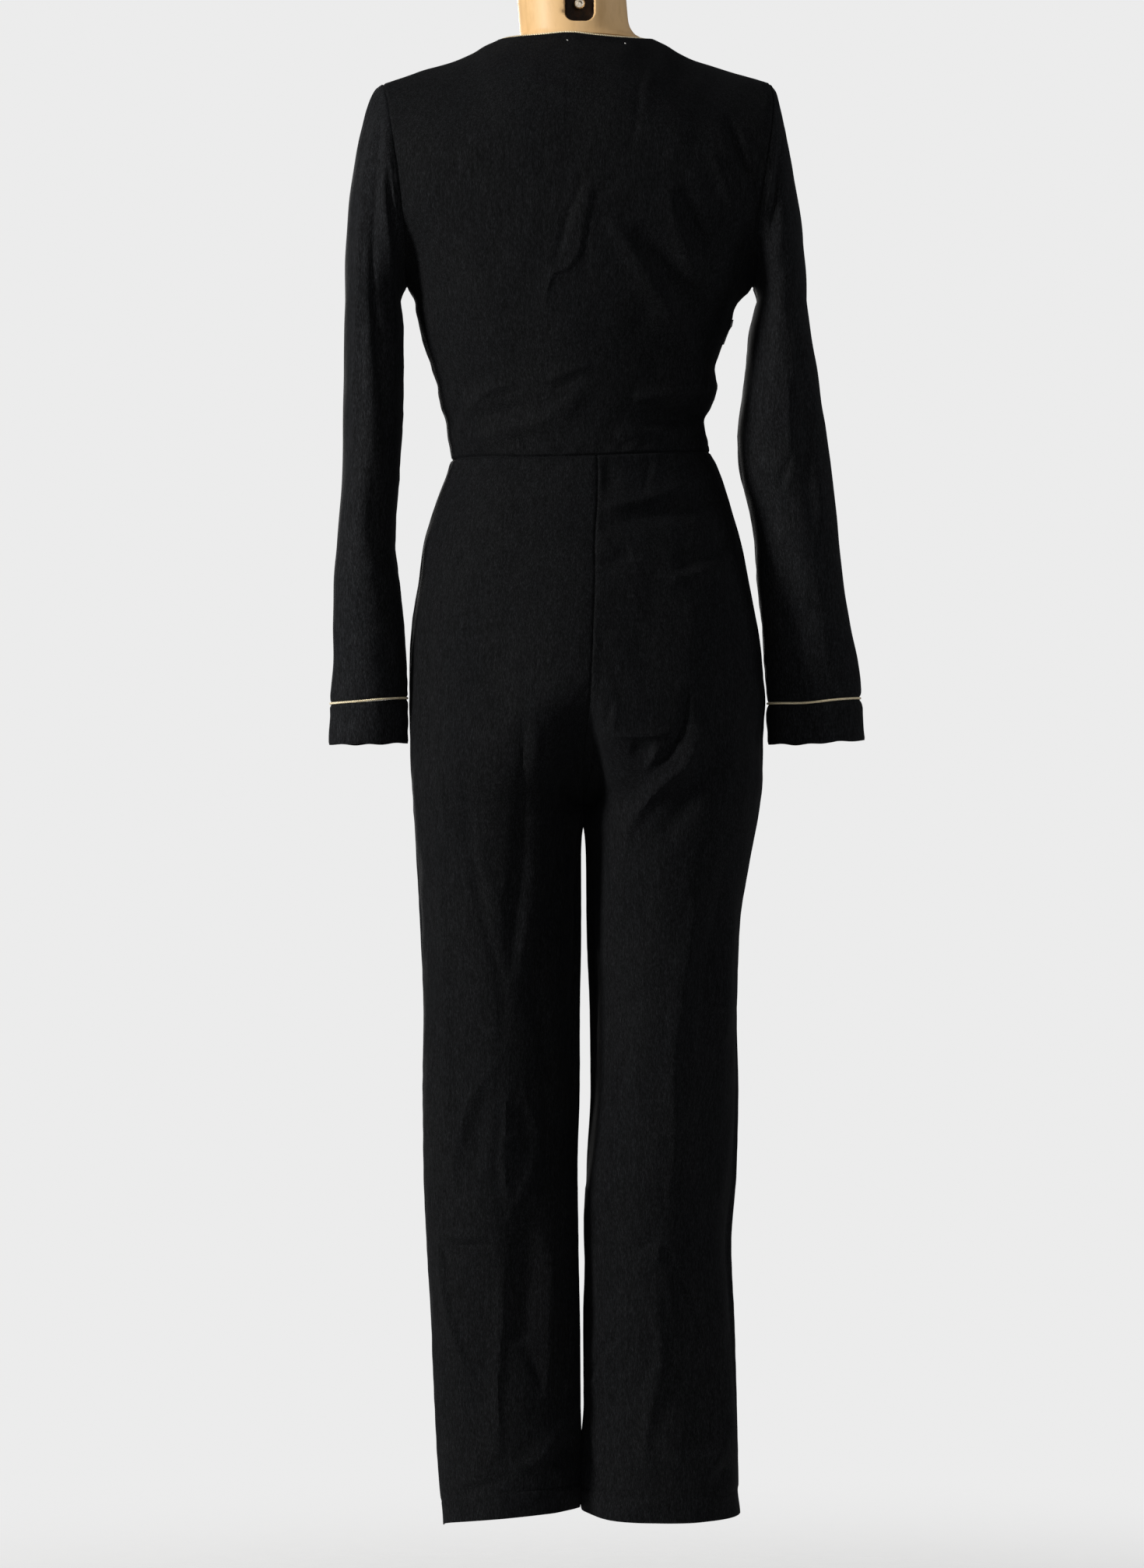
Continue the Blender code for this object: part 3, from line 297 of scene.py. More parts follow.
# the yarn's own tone, then a darkened copy that is painted shade on the strands' inner faces
CORD_TONES_WITH_PAINTED_SHADE = {"gold_cord_yarn": 1.0, "gold_cord_painted_gap_shade": 0.16}
SURROUNDINGS = (0.838, 0.838, 0.838)
AMBIENT = 0.15
LIGHTS = (
    # name, place, width and height, power in watts, colour
    ("key", (3.47, 1.77, 0.4), (0.7, 1.5), 196.0, (1.0, 0.99, 0.97)),
    ("back_fill", (-1.0, 4.2, 0.3), (1.2, 1.6), 26.0, (1.0, 0.99, 0.98)),
    ("side_fill", (-3.6, 0.2, 0.0), (1.0, 2.0), 20.0, (0.93, 0.95, 1.0)),
    ("front_fill", (0.9, -4.2, 0.2), (1.6, 2.2), 120.0, (1.0, 0.99, 0.97)),
)
LIGHT_TARGET = (0.0, 0.0, -0.80)
FLOOR_HEIGHT = -0.3500
FLOOR_RADIUS = 2.6
FLOOR_SIDES = 64
FLOOR_FADE = (0.7, 2.4)
CAMERA_X = 0.0114
CAMERA_DISTANCE = 4.0
CAMERA_HEIGHT = 0.7205
CAMERA_LENS = 94.4
CAMERA_SENSOR = 36.0
METALS = (
    # solid, name, colour between and at its spots, least and most rough, how metallic
    # the bolt's warm tint is painted reflection of the tan moulding round it
    ("form_bolt", "steel_with_painted_warm_reflection", (0.42, 0.35, 0.26), (0.78, 0.70, 0.58), 0.20, 0.40, 1.0),
    ("form_hook", "bright_steel", (0.50, 0.50, 0.49), (0.72, 0.72, 0.70), 0.16, 0.34, 1.0),
    ("zip_slider", "black_lacquer", (0.012, 0.012, 0.013), (0.03, 0.03, 0.032), 0.30, 0.48, 0.0),
)

# ---- Sections of the garment ----
BODICE_COLUMNS = ("height", "half_width", "back", "front", "lean")
BODICE_ROWS = (
    (1.0340, 0.1255, 0.0860, 0.0940, 0.0030),
    (1.0670, 0.1250, 0.0880, 0.0980, 0.0080),
    (1.0860, 0.1314, 0.0910, 0.1010, 0.0070),
    (1.1050, 0.1360, 0.0935, 0.1055, 0.0062),
    (1.1240, 0.1379, 0.0960, 0.1100, 0.0100),
    (1.1420, 0.1436, 0.0985, 0.1150, 0.0108),
    (1.1800, 0.1545, 0.1030, 0.1280, 0.0087),
    (1.2030, 0.1600, 0.1055, 0.1330, 0.0040),
    (1.2350, 0.1665, 0.1072, 0.1300, 0.0036),
    (1.2700, 0.1712, 0.1080, 0.1230, 0.0035),
    (1.3100, 0.1762, 0.1070, 0.1130, 0.0020),
    (1.3430, 0.1813, 0.1050, 0.1050, 0.0020),
    (1.3780, 0.1860, 0.1000, 0.0960, 0.0030),
    (1.4020, 0.1880, 0.0960, 0.0900, 0.0070),
    (1.4450, 0.1880, 0.0880, 0.0800, 0.0088),
    (1.5000, 0.1880, 0.0880, 0.0800, 0.0130),
)
WRAP_ROWS = (
    # height, degrees of its own arc between a bodice section's centre and its edge
    (1.0340, 90.0),
    (1.0900, 88.0),
    (1.1600, 77.0),
    (1.2200, 64.0),
    (1.2900, 54.0),
    (1.3500, 52.0),
    (1.5000, 52.0),
)
SHOULDER_LINE = (
    # distance from the centre, height of the shoulder seam
    (0.0000, 1.4680),
    (0.0400, 1.4610),
    (0.0750, 1.4435),
    (0.0870, 1.4375),
    (0.0985, 1.4300),
    (0.1195, 1.4215),
    (0.1525, 1.4120),
    (0.1880, 1.4015),
    (0.2100, 1.3940),
)
TROUSER_COLUMNS = ("height", "left_out", "left_in", "right_in", "right_out", "back", "front")
TROUSER_ROWS = (
    (0.0000, 0.1370, 0.0052, 0.0000, -0.1515, 0.0560, 0.0530),
    (0.0440, 0.1409, 0.0037, 0.0024, -0.1508, 0.0572, 0.0540),
    (0.0820, 0.1434, 0.0028, 0.0013, -0.1500, 0.0586, 0.0555),
    (0.1200, 0.1455, 0.0036, -0.0010, -0.1492, 0.0600, 0.0570),
    (0.1955, 0.1485, 0.0045, -0.0010, -0.1470, 0.0640, 0.0610),
    (0.2712, 0.1530, 0.0061, -0.0038, -0.1439, 0.0685, 0.0650),
    (0.3470, 0.1561, 0.0068, -0.0045, -0.1492, 0.0730, 0.0690),
    (0.4230, 0.1568, 0.0045, -0.0083, -0.1508, 0.0780, 0.0730),
    (0.4980, 0.1561, 0.0038, -0.0076, -0.1492, 0.0830, 0.0775),
    (0.5740, 0.1591, 0.0023, -0.0045, -0.1515, 0.0880, 0.0810),
    (0.6500, 0.1629, 0.0023, -0.0030, -0.1614, 0.0945, 0.0860),
    (0.7000, 0.1660, 0.0000, 0.0000, -0.1705, 0.1010, 0.0900),
    (0.7260, 0.1674, 0.0000, 0.0000, -0.1742, 0.1090, 0.0925),
    (0.7640, 0.1689, -0.0010, -0.0010, -0.1742, 0.1165, 0.0960),
    (0.8015, 0.1697, -0.0020, -0.0020, -0.1765, 0.1215, 0.0995),
    (0.8400, 0.1697, -0.0012, -0.0012, -0.1727, 0.1200, 0.1030),
    (0.8770, 0.1674, 0.0000, 0.0000, -0.1682, 0.1150, 0.1040),
    (0.9150, 0.1610, 0.0000, 0.0000, -0.1614, 0.1085, 0.1035),
    (0.9530, 0.1561, 0.0010, 0.0010, -0.1538, 0.1010, 0.1015),
    (0.9910, 0.1447, 0.0015, 0.0015, -0.1417, 0.0935, 0.0980),
    (1.0200, 0.1335, 0.0020, 0.0020, -0.1300, 0.0880, 0.0950),
    (1.0340, 0.1285, 0.0030, 0.0030, -0.1225, 0.0860, 0.0940),
)
LEG_SPREAD_ROWS = (
    # height, degrees round the leg that the even columns of a panel share
    (0.0000, 180.0),
    (0.4500, 178.0),
    (0.6000, 168.0),
    (0.7000, 144.0),
    (0.7233, 134.0),
    (0.7467, 122.0),
    (0.7700, 109.0),
    (0.7930, 98.6),
    (0.8400, 90.0),
    (1.0340, 90.0),
)
SEAM_DRIFT_ROWS = (
    # height, how far the centre-back seam stands off the middle
    (0.7000, 0.0000),
    (0.7450, -0.0010),
    (0.7850, -0.0034),
    (0.8280, -0.0056),
    (0.8640, -0.0082),
    (0.9070, -0.0101),
    (0.9510, -0.0113),
    (0.9940, -0.0143),
    (1.0340, -0.0155),
)
WAIST_LIFT_ROWS = (
    # x, how far the waist seam stands above its level there
    (-0.1300, 0.0100),
    (-0.0950, 0.0060),
    (-0.0600, 0.0032),
    (-0.0150, 0.0000),
    (0.0200, -0.0012),
    (0.0500, -0.0014),
    (0.0900, 0.0006),
    (0.1300, 0.0016),
)
SLEEVE_COLUMNS = ("height", "centre", "half_width", "half_depth", "forward")
SLEEVE_TABLE = {
    "left": (
        (0.7600, 0.2103, 0.0372, 0.0440, 0.0040),
        (0.8030, 0.2092, 0.0378, 0.0450, 0.0040),
        (0.8400, 0.2083, 0.0356, 0.0490, 0.0040),
        (0.8770, 0.2095, 0.0345, 0.0505, 0.0040),
        (0.9150, 0.2110, 0.0322, 0.0530, 0.0035),
        (0.9530, 0.2121, 0.0290, 0.0550, 0.0030),
        (1.0290, 0.2068, 0.0280, 0.0590, 0.0020),
        (1.0670, 0.2053, 0.0288, 0.0600, 0.0010),
        (1.1240, 0.2040, 0.0288, 0.0620, 0.0000),
        (1.1610, 0.2043, 0.0285, 0.0625, 0.0000),
        (1.1900, 0.2055, 0.0265, 0.0620, 0.0000),
    ),
    "right": (
        (0.7600, 0.2242, 0.0447, 0.0368, 0.0040),
        (0.8030, 0.2242, 0.0455, 0.0375, 0.0040),
        (0.8400, 0.2208, 0.0451, 0.0420, 0.0040),
        (0.8770, 0.2163, 0.0428, 0.0450, 0.0040),
        (0.9150, 0.2114, 0.0424, 0.0465, 0.0035),
        (0.9530, 0.2083, 0.0417, 0.0480, 0.0030),
        (0.9910, 0.2027, 0.0428, 0.0485, 0.0025),
        (1.0290, 0.1958, 0.0451, 0.0490, 0.0020),
        (1.0670, 0.1928, 0.0428, 0.0520, 0.0010),
        (1.0860, 0.1924, 0.0402, 0.0540, 0.0005),
        (1.1240, 0.1924, 0.0348, 0.0570, 0.0000),
        (1.1610, 0.1909, 0.0295, 0.0595, 0.0000),
        (1.1900, 0.1925, 0.0240, 0.0600, 0.0000),
    ),
}
SIDE_SIGN = {"left": 1.0, "right": -1.0}


# ---- Creases ----
# Each row is a crease: its width and rise in millimetres, how much sharper one side of it is, and
# the points that it runs through, as (x, height) in millimetres. A rise below zero makes a trough.
# The sharper side is on the left of the run, seen from the front, or below zero on its right.
# Rows of the back are placed as the photo shows them, before VIEW_CENTRE and BACK_NEARNESS.
BODICE_BACK_CREASES = (
    (3.5, -2.6, 0, (1, 1308), (9, 1286), (17, 1267), (21, 1248), (29, 1222)),
    (4, 2.5, -0.5, (-6, 1305), (-5, 1285), (-1, 1267), (4, 1241), (15, 1222), (29, 1216), (35, 1199),
     (36, 1182)),
    (6, 1.9, 0, (-2, 1300), (4, 1280), (10, 1255), (20, 1232)),
    (4, -1.7, 0, (-8, 1288), (-19, 1299), (-34, 1309)),
    (4, 1.5, 0, (-14, 1303), (-30, 1313)),
    (3, -1.1, 0, (-62, 1419), (-54, 1400), (-53, 1377), (-51, 1362), (-47, 1347), (-42, 1333)),
    (5, 0.5, 0, (-68, 1424), (-62, 1400), (-58, 1376)),
    (12, 5.2, -0.4, (-26, 1268), (-41, 1247), (-62, 1216), (-81, 1189), (-100, 1158), (-115, 1130),
     (-122, 1114)),
    (14, -5.2, 0, (-50, 1262), (-76, 1230), (-94, 1202), (-110, 1180), (-122, 1158)),
    (9, 3.4, -0.3, (-83, 1301), (-89, 1271), (-98, 1245), (-110, 1222), (-121, 1208)),
    (9, -3.8, 0, (-98, 1300), (-107, 1268), (-120, 1240)),
    (6, 2.8, -0.3, (-123, 1339), (-133, 1320), (-144, 1294), (-151, 1275)),
    (6, -4.2, 0, (-140, 1370), (-151, 1336), (-161, 1316), (-173, 1302)),
    (5, 2.0, 0, (-133, 1366), (-142, 1338), (-152, 1316)),
    (5, 2.2, 0, (-151, 1366), (-163, 1336), (-172, 1314)),
    (4, 1.6, 0, (-84, 1340), (-86, 1324)),
    (4, -1.3, 0, (-100, 1343), (-117, 1355)),
    (5, 1.4, 0, (34, 1404), (24, 1396), (15, 1385)),
    (5, -1.4, 0, (45, 1332), (38, 1322), (34, 1313)),
    (4, -1.2, 0, (161, 1340), (172, 1322)),
    (4, -1.0, 0, (-1, 1262), (-1, 1235), (0, 1205)),
    (7, -1.0, 0, (100, 1392), (92, 1376), (88, 1352)),
    (9, 5.6, 0.45, (-50, 1097), (-70, 1098), (-95, 1104), (-124, 1112)),
    (10, -6.6, 0, (-54, 1081), (-85, 1078), (-118, 1082)),
    (9, 2.6, 0.3, (-30, 1060), (-70, 1062), (-114, 1066)),
    (5, -2.0, 0, (127, 1072), (122, 1100), (111, 1120)),
    (6, 2.6, 0.3, (121, 1066), (104, 1096), (86, 1107), (68, 1111)),
    (9, 3.0, -0.3, (114, 1058), (76, 1066), (45, 1074), (23, 1089), (8, 1101)),
    (7, -2.0, 0, (104, 1080), (76, 1086), (52, 1092)),
    (5, 2.4, 0.3, (36, 1110), (29, 1116), (11, 1123), (-8, 1129)),
    (5, -1.8, 0, (30, 1104), (14, 1111), (2, 1118)),
    (7, 1.8, 0, (4, 1104), (11, 1088), (24, 1074)),
    (7, -1.2, 0, (60, 1040), (58, 1056), (62, 1070)),
)
BODICE_FRONT_CREASES = (
    (12, -3.4, 0, (116, 1158), (88, 1136), (60, 1112), (44, 1090)),
    (12, 3.2, 0, (124, 1136), (98, 1112), (70, 1086), (56, 1066)),
    (12, -3.4, 0, (-112, 1164), (-82, 1140), (-54, 1112), (-40, 1084)),
    (11, 3.0, 0, (-122, 1138), (-96, 1116), (-68, 1092), (-50, 1066)),
    (9, 2.2, 0, (112, 1072), (78, 1066), (42, 1070)),
    (9, -2.0, 0, (108, 1056), (76, 1052), (40, 1054)),
    (9, 2.4, 0, (-108, 1078), (-80, 1072), (-46, 1072)),
    (9, -2.0, 0, (-104, 1060), (-72, 1056), (-36, 1060)),
    (10, -2.8, 0, (156, 1292), (138, 1262), (118, 1236), (100, 1220)),
    (10, 2.4, 0, (160, 1266), (142, 1240), (124, 1216)),
    (10, -2.8, 0, (-156, 1298), (-136, 1264), (-114, 1232), (-96, 1216)),
    (10, 2.2, 0, (-160, 1268), (-144, 1238), (-120, 1208)),
    (8, -1.6, 0, (64, 1400), (70, 1362), (68, 1320), (58, 1290)),
    (8, -1.6, 0, (-62, 1402), (-70, 1360), (-66, 1316), (-54, 1288)),
    (8, 1.6, 0, (20, 1256), (26, 1220), (22, 1180)),
    (8, -1.6, 0, (-14, 1250), (-20, 1212), (-16, 1166)),
    (9, 1.8, 0, (10, 1130), (14, 1100), (8, 1060)),
)
TROUSER_BACK_CREASES = (
    (10, -1.8, 0, (-20, 1036), (-25, 1020), (-22, 1002)),
    (4, 0.7, 0, (-16, 1034), (-17, 1015), (-16, 995)),
    (8, 4.4, 0.5, (-19, 990), (-53, 995), (-83, 1002), (-116, 1016)),
    (10, -5.6, 0, (-14, 970), (-38, 976), (-76, 985), (-116, 995), (-136, 1002)),
    (3.5, -1.2, 0, (-66, 1034), (-62, 1015), (-58, 1000)),
    (4, 0.8, 0, (-72, 1032), (-68, 1012)),
    (8, -2.8, 0, (-12, 930), (-28, 936), (-46, 945)),
    (7, 5.4, 0.3, (-83, 919), (-114, 927), (-148, 946)),
    (8, -3.4, 0, (-91, 934), (-121, 946), (-148, 960)),
    (26, 2.6, 0, (-92, 905), (-102, 870), (-104, 830), (-98, 800)),
    (4, -3.8, 0, (119, 950), (120, 943), (121, 933)),
    (3.5, -5.4, 0, (-101, 813), (-100, 798), (-97, 775), (-89, 756), (-83, 748), (-72, 737)),
    (8, 7.0, -0.35, (-112, 782), (-108, 760), (-98, 737), (-83, 726), (-68, 711), (-53, 688),
     (-44, 671)),
    (12, -5.4, 0, (-136, 764), (-121, 737), (-106, 711), (-91, 688), (-76, 665)),
    (3.5, 2.8, 0, (-74, 762), (-70, 750), (-59, 733)),
    (7, -3.8, 0, (-46, 755), (-67, 752)),
    (6, 3.4, 0.6, (-28, 767), (-53, 766), (-76, 768), (-89, 776)),
    (6, -2.4, 0, (-18, 757), (-30, 740), (-36, 728)),
    (14, 3.0, 0, (-42, 680), (-32, 640), (-24, 600), (-16, 563)),
    (4, 1.9, 0, (-33, 802), (-30, 786), (-28, 770)),
    (4, -1.7, 0, (-26, 800), (-23, 784), (-21, 772)),
    (8, -2.0, 0, (-10, 765), (-14, 735), (-12, 700)),
    (4, -2.8, 0, (58, 786), (59, 745), (59, 700), (60, 660), (61, 600)),
    (8, 2.6, -0.4, (47, 790), (45, 760), (44, 726), (42, 680), (45, 635), (50, 597), (56, 567),
     (62, 536)),
    (12, -6.0, 0.3, (14, 720), (16, 680), (18, 640), (26, 597), (38, 560), (44, 530), (40, 490),
     (34, 452), (33, 425)),
    (10, -4.0, 0.3, (36, 430), (34, 400), (30, 370), (34, 340), (44, 318)),
    (4, -6.5, 0, (155, 892), (159, 839), (158, 786), (153, 745)),
    (4, 2.2, 0, (142, 737), (136, 695), (133, 665)),
    (3.5, -1.4, 0, (114, 750), (115, 700), (113, 650)),
    (7, 2.4, -0.4, (140, 680), (138, 600), (136, 500), (134, 400), (137, 347)),
    (5, -2.6, 0, (113, 690), (109, 660), (104, 620), (97, 589), (86, 550), (80, 525), (79, 491),
     (81, 460)),
    (5, 1.7, 0.3, (104, 665), (91, 620), (82, 597), (75, 584)),
    (7, -3.4, 0, (62, 695), (65, 635), (68, 574), (71, 529)),
    (20, 2.0, -0.2, (86, 600), (84, 480), (86, 380), (84, 280), (82, 180), (80, 60)),
    (36, -8.0, 0, (16, 690), (14, 620), (12, 560), (12, 480), (12, 400), (14, 320)),
    (4, -2.0, 0, (81, 460), (83, 423), (81, 392), (85, 362), (83, 332), (79, 301), (72, 279)),
    (4, 2.4, 0, (77, 423), (76, 392), (79, 362), (77, 332), (73, 305)),
    (5, 3.0, 0.3, (83, 449), (97, 434), (107, 419), (115, 400), (121, 377), (126, 355), (130, 324)),
    (10, -3.4, 0, (92, 423), (100, 392), (104, 362), (109, 339)),
    (5, 2.4, -0.5, (59, 430), (50, 404), (42, 370), (47, 347), (59, 324), (72, 292)),
    (6, -1.8, 0, (62, 408), (56, 377), (62, 347)),
    (3.5, 1.8, 0, (82, 373), (67, 375), (51, 377)),
    (3.5, -1.4, 0, (134, 332), (132, 302)),
    (4, -2.4, 0, (141, 270), (114, 268), (86, 271)),
    (4, 2.0, 0, (140, 278), (114, 276), (90, 277)),
    (4, -1.2, 0, (138, 258), (112, 257), (88, 259)),
    (6, 4.0, -0.6, (141, 271), (138, 233), (130, 195), (120, 161), (111, 139)),
    (8, 4.2, -0.6, (30, 262), (31, 225), (33, 190), (35, 150), (36, 112)),
    (14, -6.0, 0, (53, 310), (56, 256), (59, 210), (62, 170)),
    (12, 5.0, 0, (-22, 600), (-20, 500), (-18, 400), (-18, 300), (-16, 200), (-14, 110)),
    (5, -2.8, 0, (59, 169), (47, 146), (38, 120)),
    (9, -4.4, 0, (15, 271), (15, 195), (17, 135)),
    (8, 3.6, -0.6, (77, 256), (79, 195), (83, 150), (83, 97), (83, 59)),
    (8, 4.6, 0, (6, 110), (15, 95), (24, 82), (35, 65), (51, 53), (72, 46)),
    (8, -5.6, 0, (9, 74), (18, 59), (29, 48)),
    (6, -2.8, 0, (72, 40), (92, 33), (114, 23), (127, 14)),
    (9, 3.6, -0.55, (-111, 612), (-106, 574), (-102, 536), (-97, 506), (-91, 468), (-89, 423),
     (-91, 385), (-89, 347), (-82, 317), (-78, 279)),
    (9, 3.6, -0.55, (-68, 233), (-74, 195), (-77, 150), (-67, 104), (-62, 67), (-72, 36)),
    (32, -10.0, 0, (-126, 500), (-128, 400), (-125, 320), (-122, 240), (-122, 160), (-118, 60)),
    (16, 3.4, 0, (-11, 563), (-38, 540), (-76, 527), (-98, 517)),
    (10, -4.6, 0, (-140, 650), (-133, 597), (-123, 551), (-117, 514), (-120, 476), (-133, 445)),
    (8, 3.4, 0, (-148, 589), (-144, 544), (-140, 498), (-142, 468)),
    (4, -2.2, 0, (-135, 464), (-136, 434)),
    (3.5, -2.2, 0, (-40, 461), (-38, 438), (-32, 415), (-26, 392), (-21, 370), (-20, 339), (-21, 324)),
    (3.5, 1.6, 0, (-36, 423), (-30, 385), (-25, 347), (-24, 324)),
    (3.5, 1.6, 0, (-47, 483), (-50, 445), (-53, 419)),
    (3.5, -1.6, 0, (-76, 368), (-85, 371), (-95, 371)),
    (4, -2.8, 0, (-80, 267), (-91, 241), (-104, 210), (-114, 188), (-118, 176)),
    (4, 2.4, 0, (-74, 273), (-71, 248)),
    (4, -2.2, 0, (-79, 339), (-79, 302), (-75, 280)),
    (5, -1.8, 0, (-74, 277), (-62, 268), (-50, 270)),
    (5, -1.8, 0, (-64, 240), (-70, 205)),
    (3.5, -2.4, 0, (-34, 174), (-25, 169), (-15, 148), (-8, 131)),
    (4, 1.8, 0, (-38, 170), (-26, 159), (-17, 139), (-9, 123)),
    (8, 3.6, 0, (-145, 82), (-133, 59), (-123, 40)),
    (7, -4.6, 0, (-142, 48), (-135, 32), (-125, 21)),
)
TROUSER_FRONT_CREASES = (
    (8, -3.2, 0, (16, 762), (44, 740), (76, 726), (112, 722)),
    (9, 3.2, 0, (18, 742), (46, 718), (82, 702), (118, 700)),
    (8, -2.6, 0, (22, 716), (50, 690), (84, 668)),
    (8, -3.2, 0, (-16, 766), (-46, 744), (-80, 732), (-120, 730)),
    (9, 3.2, 0, (-18, 744), (-48, 722), (-84, 710), (-124, 708)),
    (8, -2.4, 0, (-24, 714), (-54, 684), (-88, 664)),
    (6, 1.8, 0, (12, 800), (30, 792), (52, 790)),
    (9, 2.4, 0, (96, 640), (84, 560), (82, 480), (90, 420)),
    (9, -2.2, 0, (70, 620), (60, 540), (58, 470)),
    (9, 2.2, 0, (-92, 630), (-80, 556), (-78, 480), (-86, 424)),
    (9, -2.4, 0, (-62, 600), (-54, 520), (-56, 450)),
    (10, -2.6, 0, (142, 436), (104, 410), (66, 396), (30, 400)),
    (9, 2.4, 0, (138, 412), (104, 388), (70, 376)),
    (7, -2.0, 0, (120, 378), (94, 352), (80, 320)),
    (10, -2.6, 0, (-138, 450), (-102, 428), (-64, 420), (-26, 428)),
    (9, 2.4, 0, (-136, 428), (-100, 404), (-62, 396)),
    (7, -2.0, 0, (-118, 392), (-96, 364), (-84, 330)),
    (8, 2.2, 0, (116, 290), (98, 240), (80, 180), (72, 120)),
    (8, -1.8, 0, (60, 280), (50, 220), (52, 150)),
    (8, 2.2, 0, (-114, 300), (-96, 246), (-82, 180), (-78, 110)),
    (8, -1.8, 0, (-56, 290), (-48, 230), (-50, 160)),
    (9, -1.8, 0, (100, 70), (72, 58), (44, 66)),
    (9, -1.8, 0, (-108, 74), (-80, 60), (-48, 66)),
    (9, 2.0, 0, (110, 1000), (80, 994), (40, 998)),
    (9, -2.0, 0, (112, 982), (84, 976), (44, 978)),
    (9, 2.0, 0, (-100, 1006), (-70, 996), (-34, 998)),
    (9, -2.0, 0, (-104, 988), (-74, 978), (-36, 980)),
    (7, -1.4, 0, (60, 1034), (58, 1014), (62, 994)),
    (7, -1.4, 0, (-58, 1034), (-56, 1014), (-60, 996)),
)
SLEEVE_BACK_CREASES = {
    "left": (
        (5, 3.2, -0.4, (202, 1385), (211, 1340), (216, 1301), (219, 1256), (222, 1200), (224, 1142),
         (225, 1090), (225, 1040)),
        (6, -5.4, 0, (199, 1372), (201, 1332), (206, 1294), (207, 1256), (206, 1218), (203, 1180),
         (199, 1142), (195, 1104), (192, 1060), (190, 1020)),
        (6, 4.8, 0.3, (193, 1370), (196, 1332), (195, 1300), (193, 1256), (191, 1218), (189, 1180),
         (187, 1142), (184, 1104)),
        (4, -3.4, 0, (190, 1325), (189, 1294), (187, 1264)),
        (3.5, 2.6, 0, (190, 1355), (189, 1325), (186, 1301), (183, 1280), (180, 1266)),
        (10, 2.0, 0, (222, 1020), (216, 970), (208, 920)),
        (9, -2.0, 0, (206, 1040), (208, 990), (214, 930)),
        (9, -1.7, 0, (232, 964), (214, 950), (194, 948)),
        (9, 1.7, 0, (230, 946), (212, 934), (192, 930)),
        (8, -1.5, 0, (230, 886), (212, 876), (196, 880)),
        (8, 1.5, 0, (232, 862), (214, 850), (196, 846)),
    ),
    "right": (
        (4, -4.6, 0, (-194, 1347), (-192, 1320), (-189, 1294), (-183, 1264)),
        (3.5, 2.6, 0, (-190, 1358), (-187, 1332), (-183, 1301), (-176, 1275)),
        (8, 2.6, 0, (-198, 1290), (-194, 1262), (-188, 1230), (-180, 1190)),
        (8, -3.8, 0, (-201, 1218), (-210, 1165), (-216, 1120), (-220, 1067), (-222, 1021), (-227, 972)),
        (3.5, 2.4, 0, (-202, 1177), (-205, 1146), (-209, 1116), (-215, 1089)),
        (6, 2.6, -0.5, (-201, 1127), (-203, 1082), (-203, 1040)),
        (3.5, -2.6, 0, (-205, 1046), (-199, 1029), (-194, 1012)),
        (4, 1.8, 0, (-208, 1038), (-203, 1022), (-200, 1006)),
        (6, 2.4, 0, (-227, 1059), (-232, 1014), (-236, 961)),
        (12, 2.6, 0, (-226, 940), (-234, 900), (-240, 860), (-242, 825)),
        (12, -3.4, 0, (-196, 960), (-204, 900), (-208, 860), (-210, 825)),
        (8, -1.4, 0, (-250, 900), (-228, 890), (-206, 888)),
    ),
}
SLEEVE_FRONT_CREASES = {
    "left": (
        (6, 2.6, 0, (206, 1382), (212, 1340), (215, 1290), (214, 1240)),
        (6, -2.6, 0, (199, 1376), (203, 1334), (205, 1286), (203, 1240)),
        (8, -2.2, 0, (186, 1240), (198, 1214), (214, 1196)),
        (8, 2.2, 0, (184, 1210), (198, 1186), (216, 1170)),
        (9, -2.4, 0, (184, 1060), (202, 1040), (224, 1034)),
        (9, 2.4, 0, (184, 1030), (204, 1010), (226, 1006)),
        (8, -1.8, 0, (190, 900), (212, 884), (236, 884)),
        (8, 1.8, 0, (192, 874), (212, 858), (236, 858)),
    ),
    "right": (
        (6, 2.6, 0, (-200, 1384), (-206, 1342), (-210, 1294), (-212, 1246)),
        (6, -2.6, 0, (-194, 1372), (-198, 1330), (-200, 1280), (-198, 1236)),
        (8, -2.2, 0, (-176, 1236), (-188, 1212), (-206, 1198)),
        (8, 2.2, 0, (-176, 1206), (-190, 1184), (-208, 1172)),
        (9, -2.4, 0, (-166, 1050), (-190, 1030), (-216, 1028)),
        (9, 2.4, 0, (-170, 1020), (-194, 1002), (-222, 1000)),
        (8, -1.8, 0, (-186, 904), (-214, 886), (-244, 886)),
        (8, 1.8, 0, (-190, 876), (-216, 860), (-246, 862)),
    ),
}


# ---- Curves ----
def bell(distance, reach, power=2):
    """1 at no distance, falling smoothly to 0 past the reach."""
    return np.exp(-(distance / reach) ** power)


def smooth_share(value):
    """0 below 0 and 1 above 1, with a smooth rise between."""
    share = np.clip(value, 0.0, 1.0)
    return share * share * (3.0 - 2.0 * share)


def span_weights(t):
    """How much the two ends of a smooth span count at a place along it, then their two slopes."""
    return ((1.0 + 2.0 * t) * (1.0 - t) ** 2, t * t * (3.0 - 2.0 * t),
            t * (1.0 - t) ** 2, t * t * (t - 1.0))


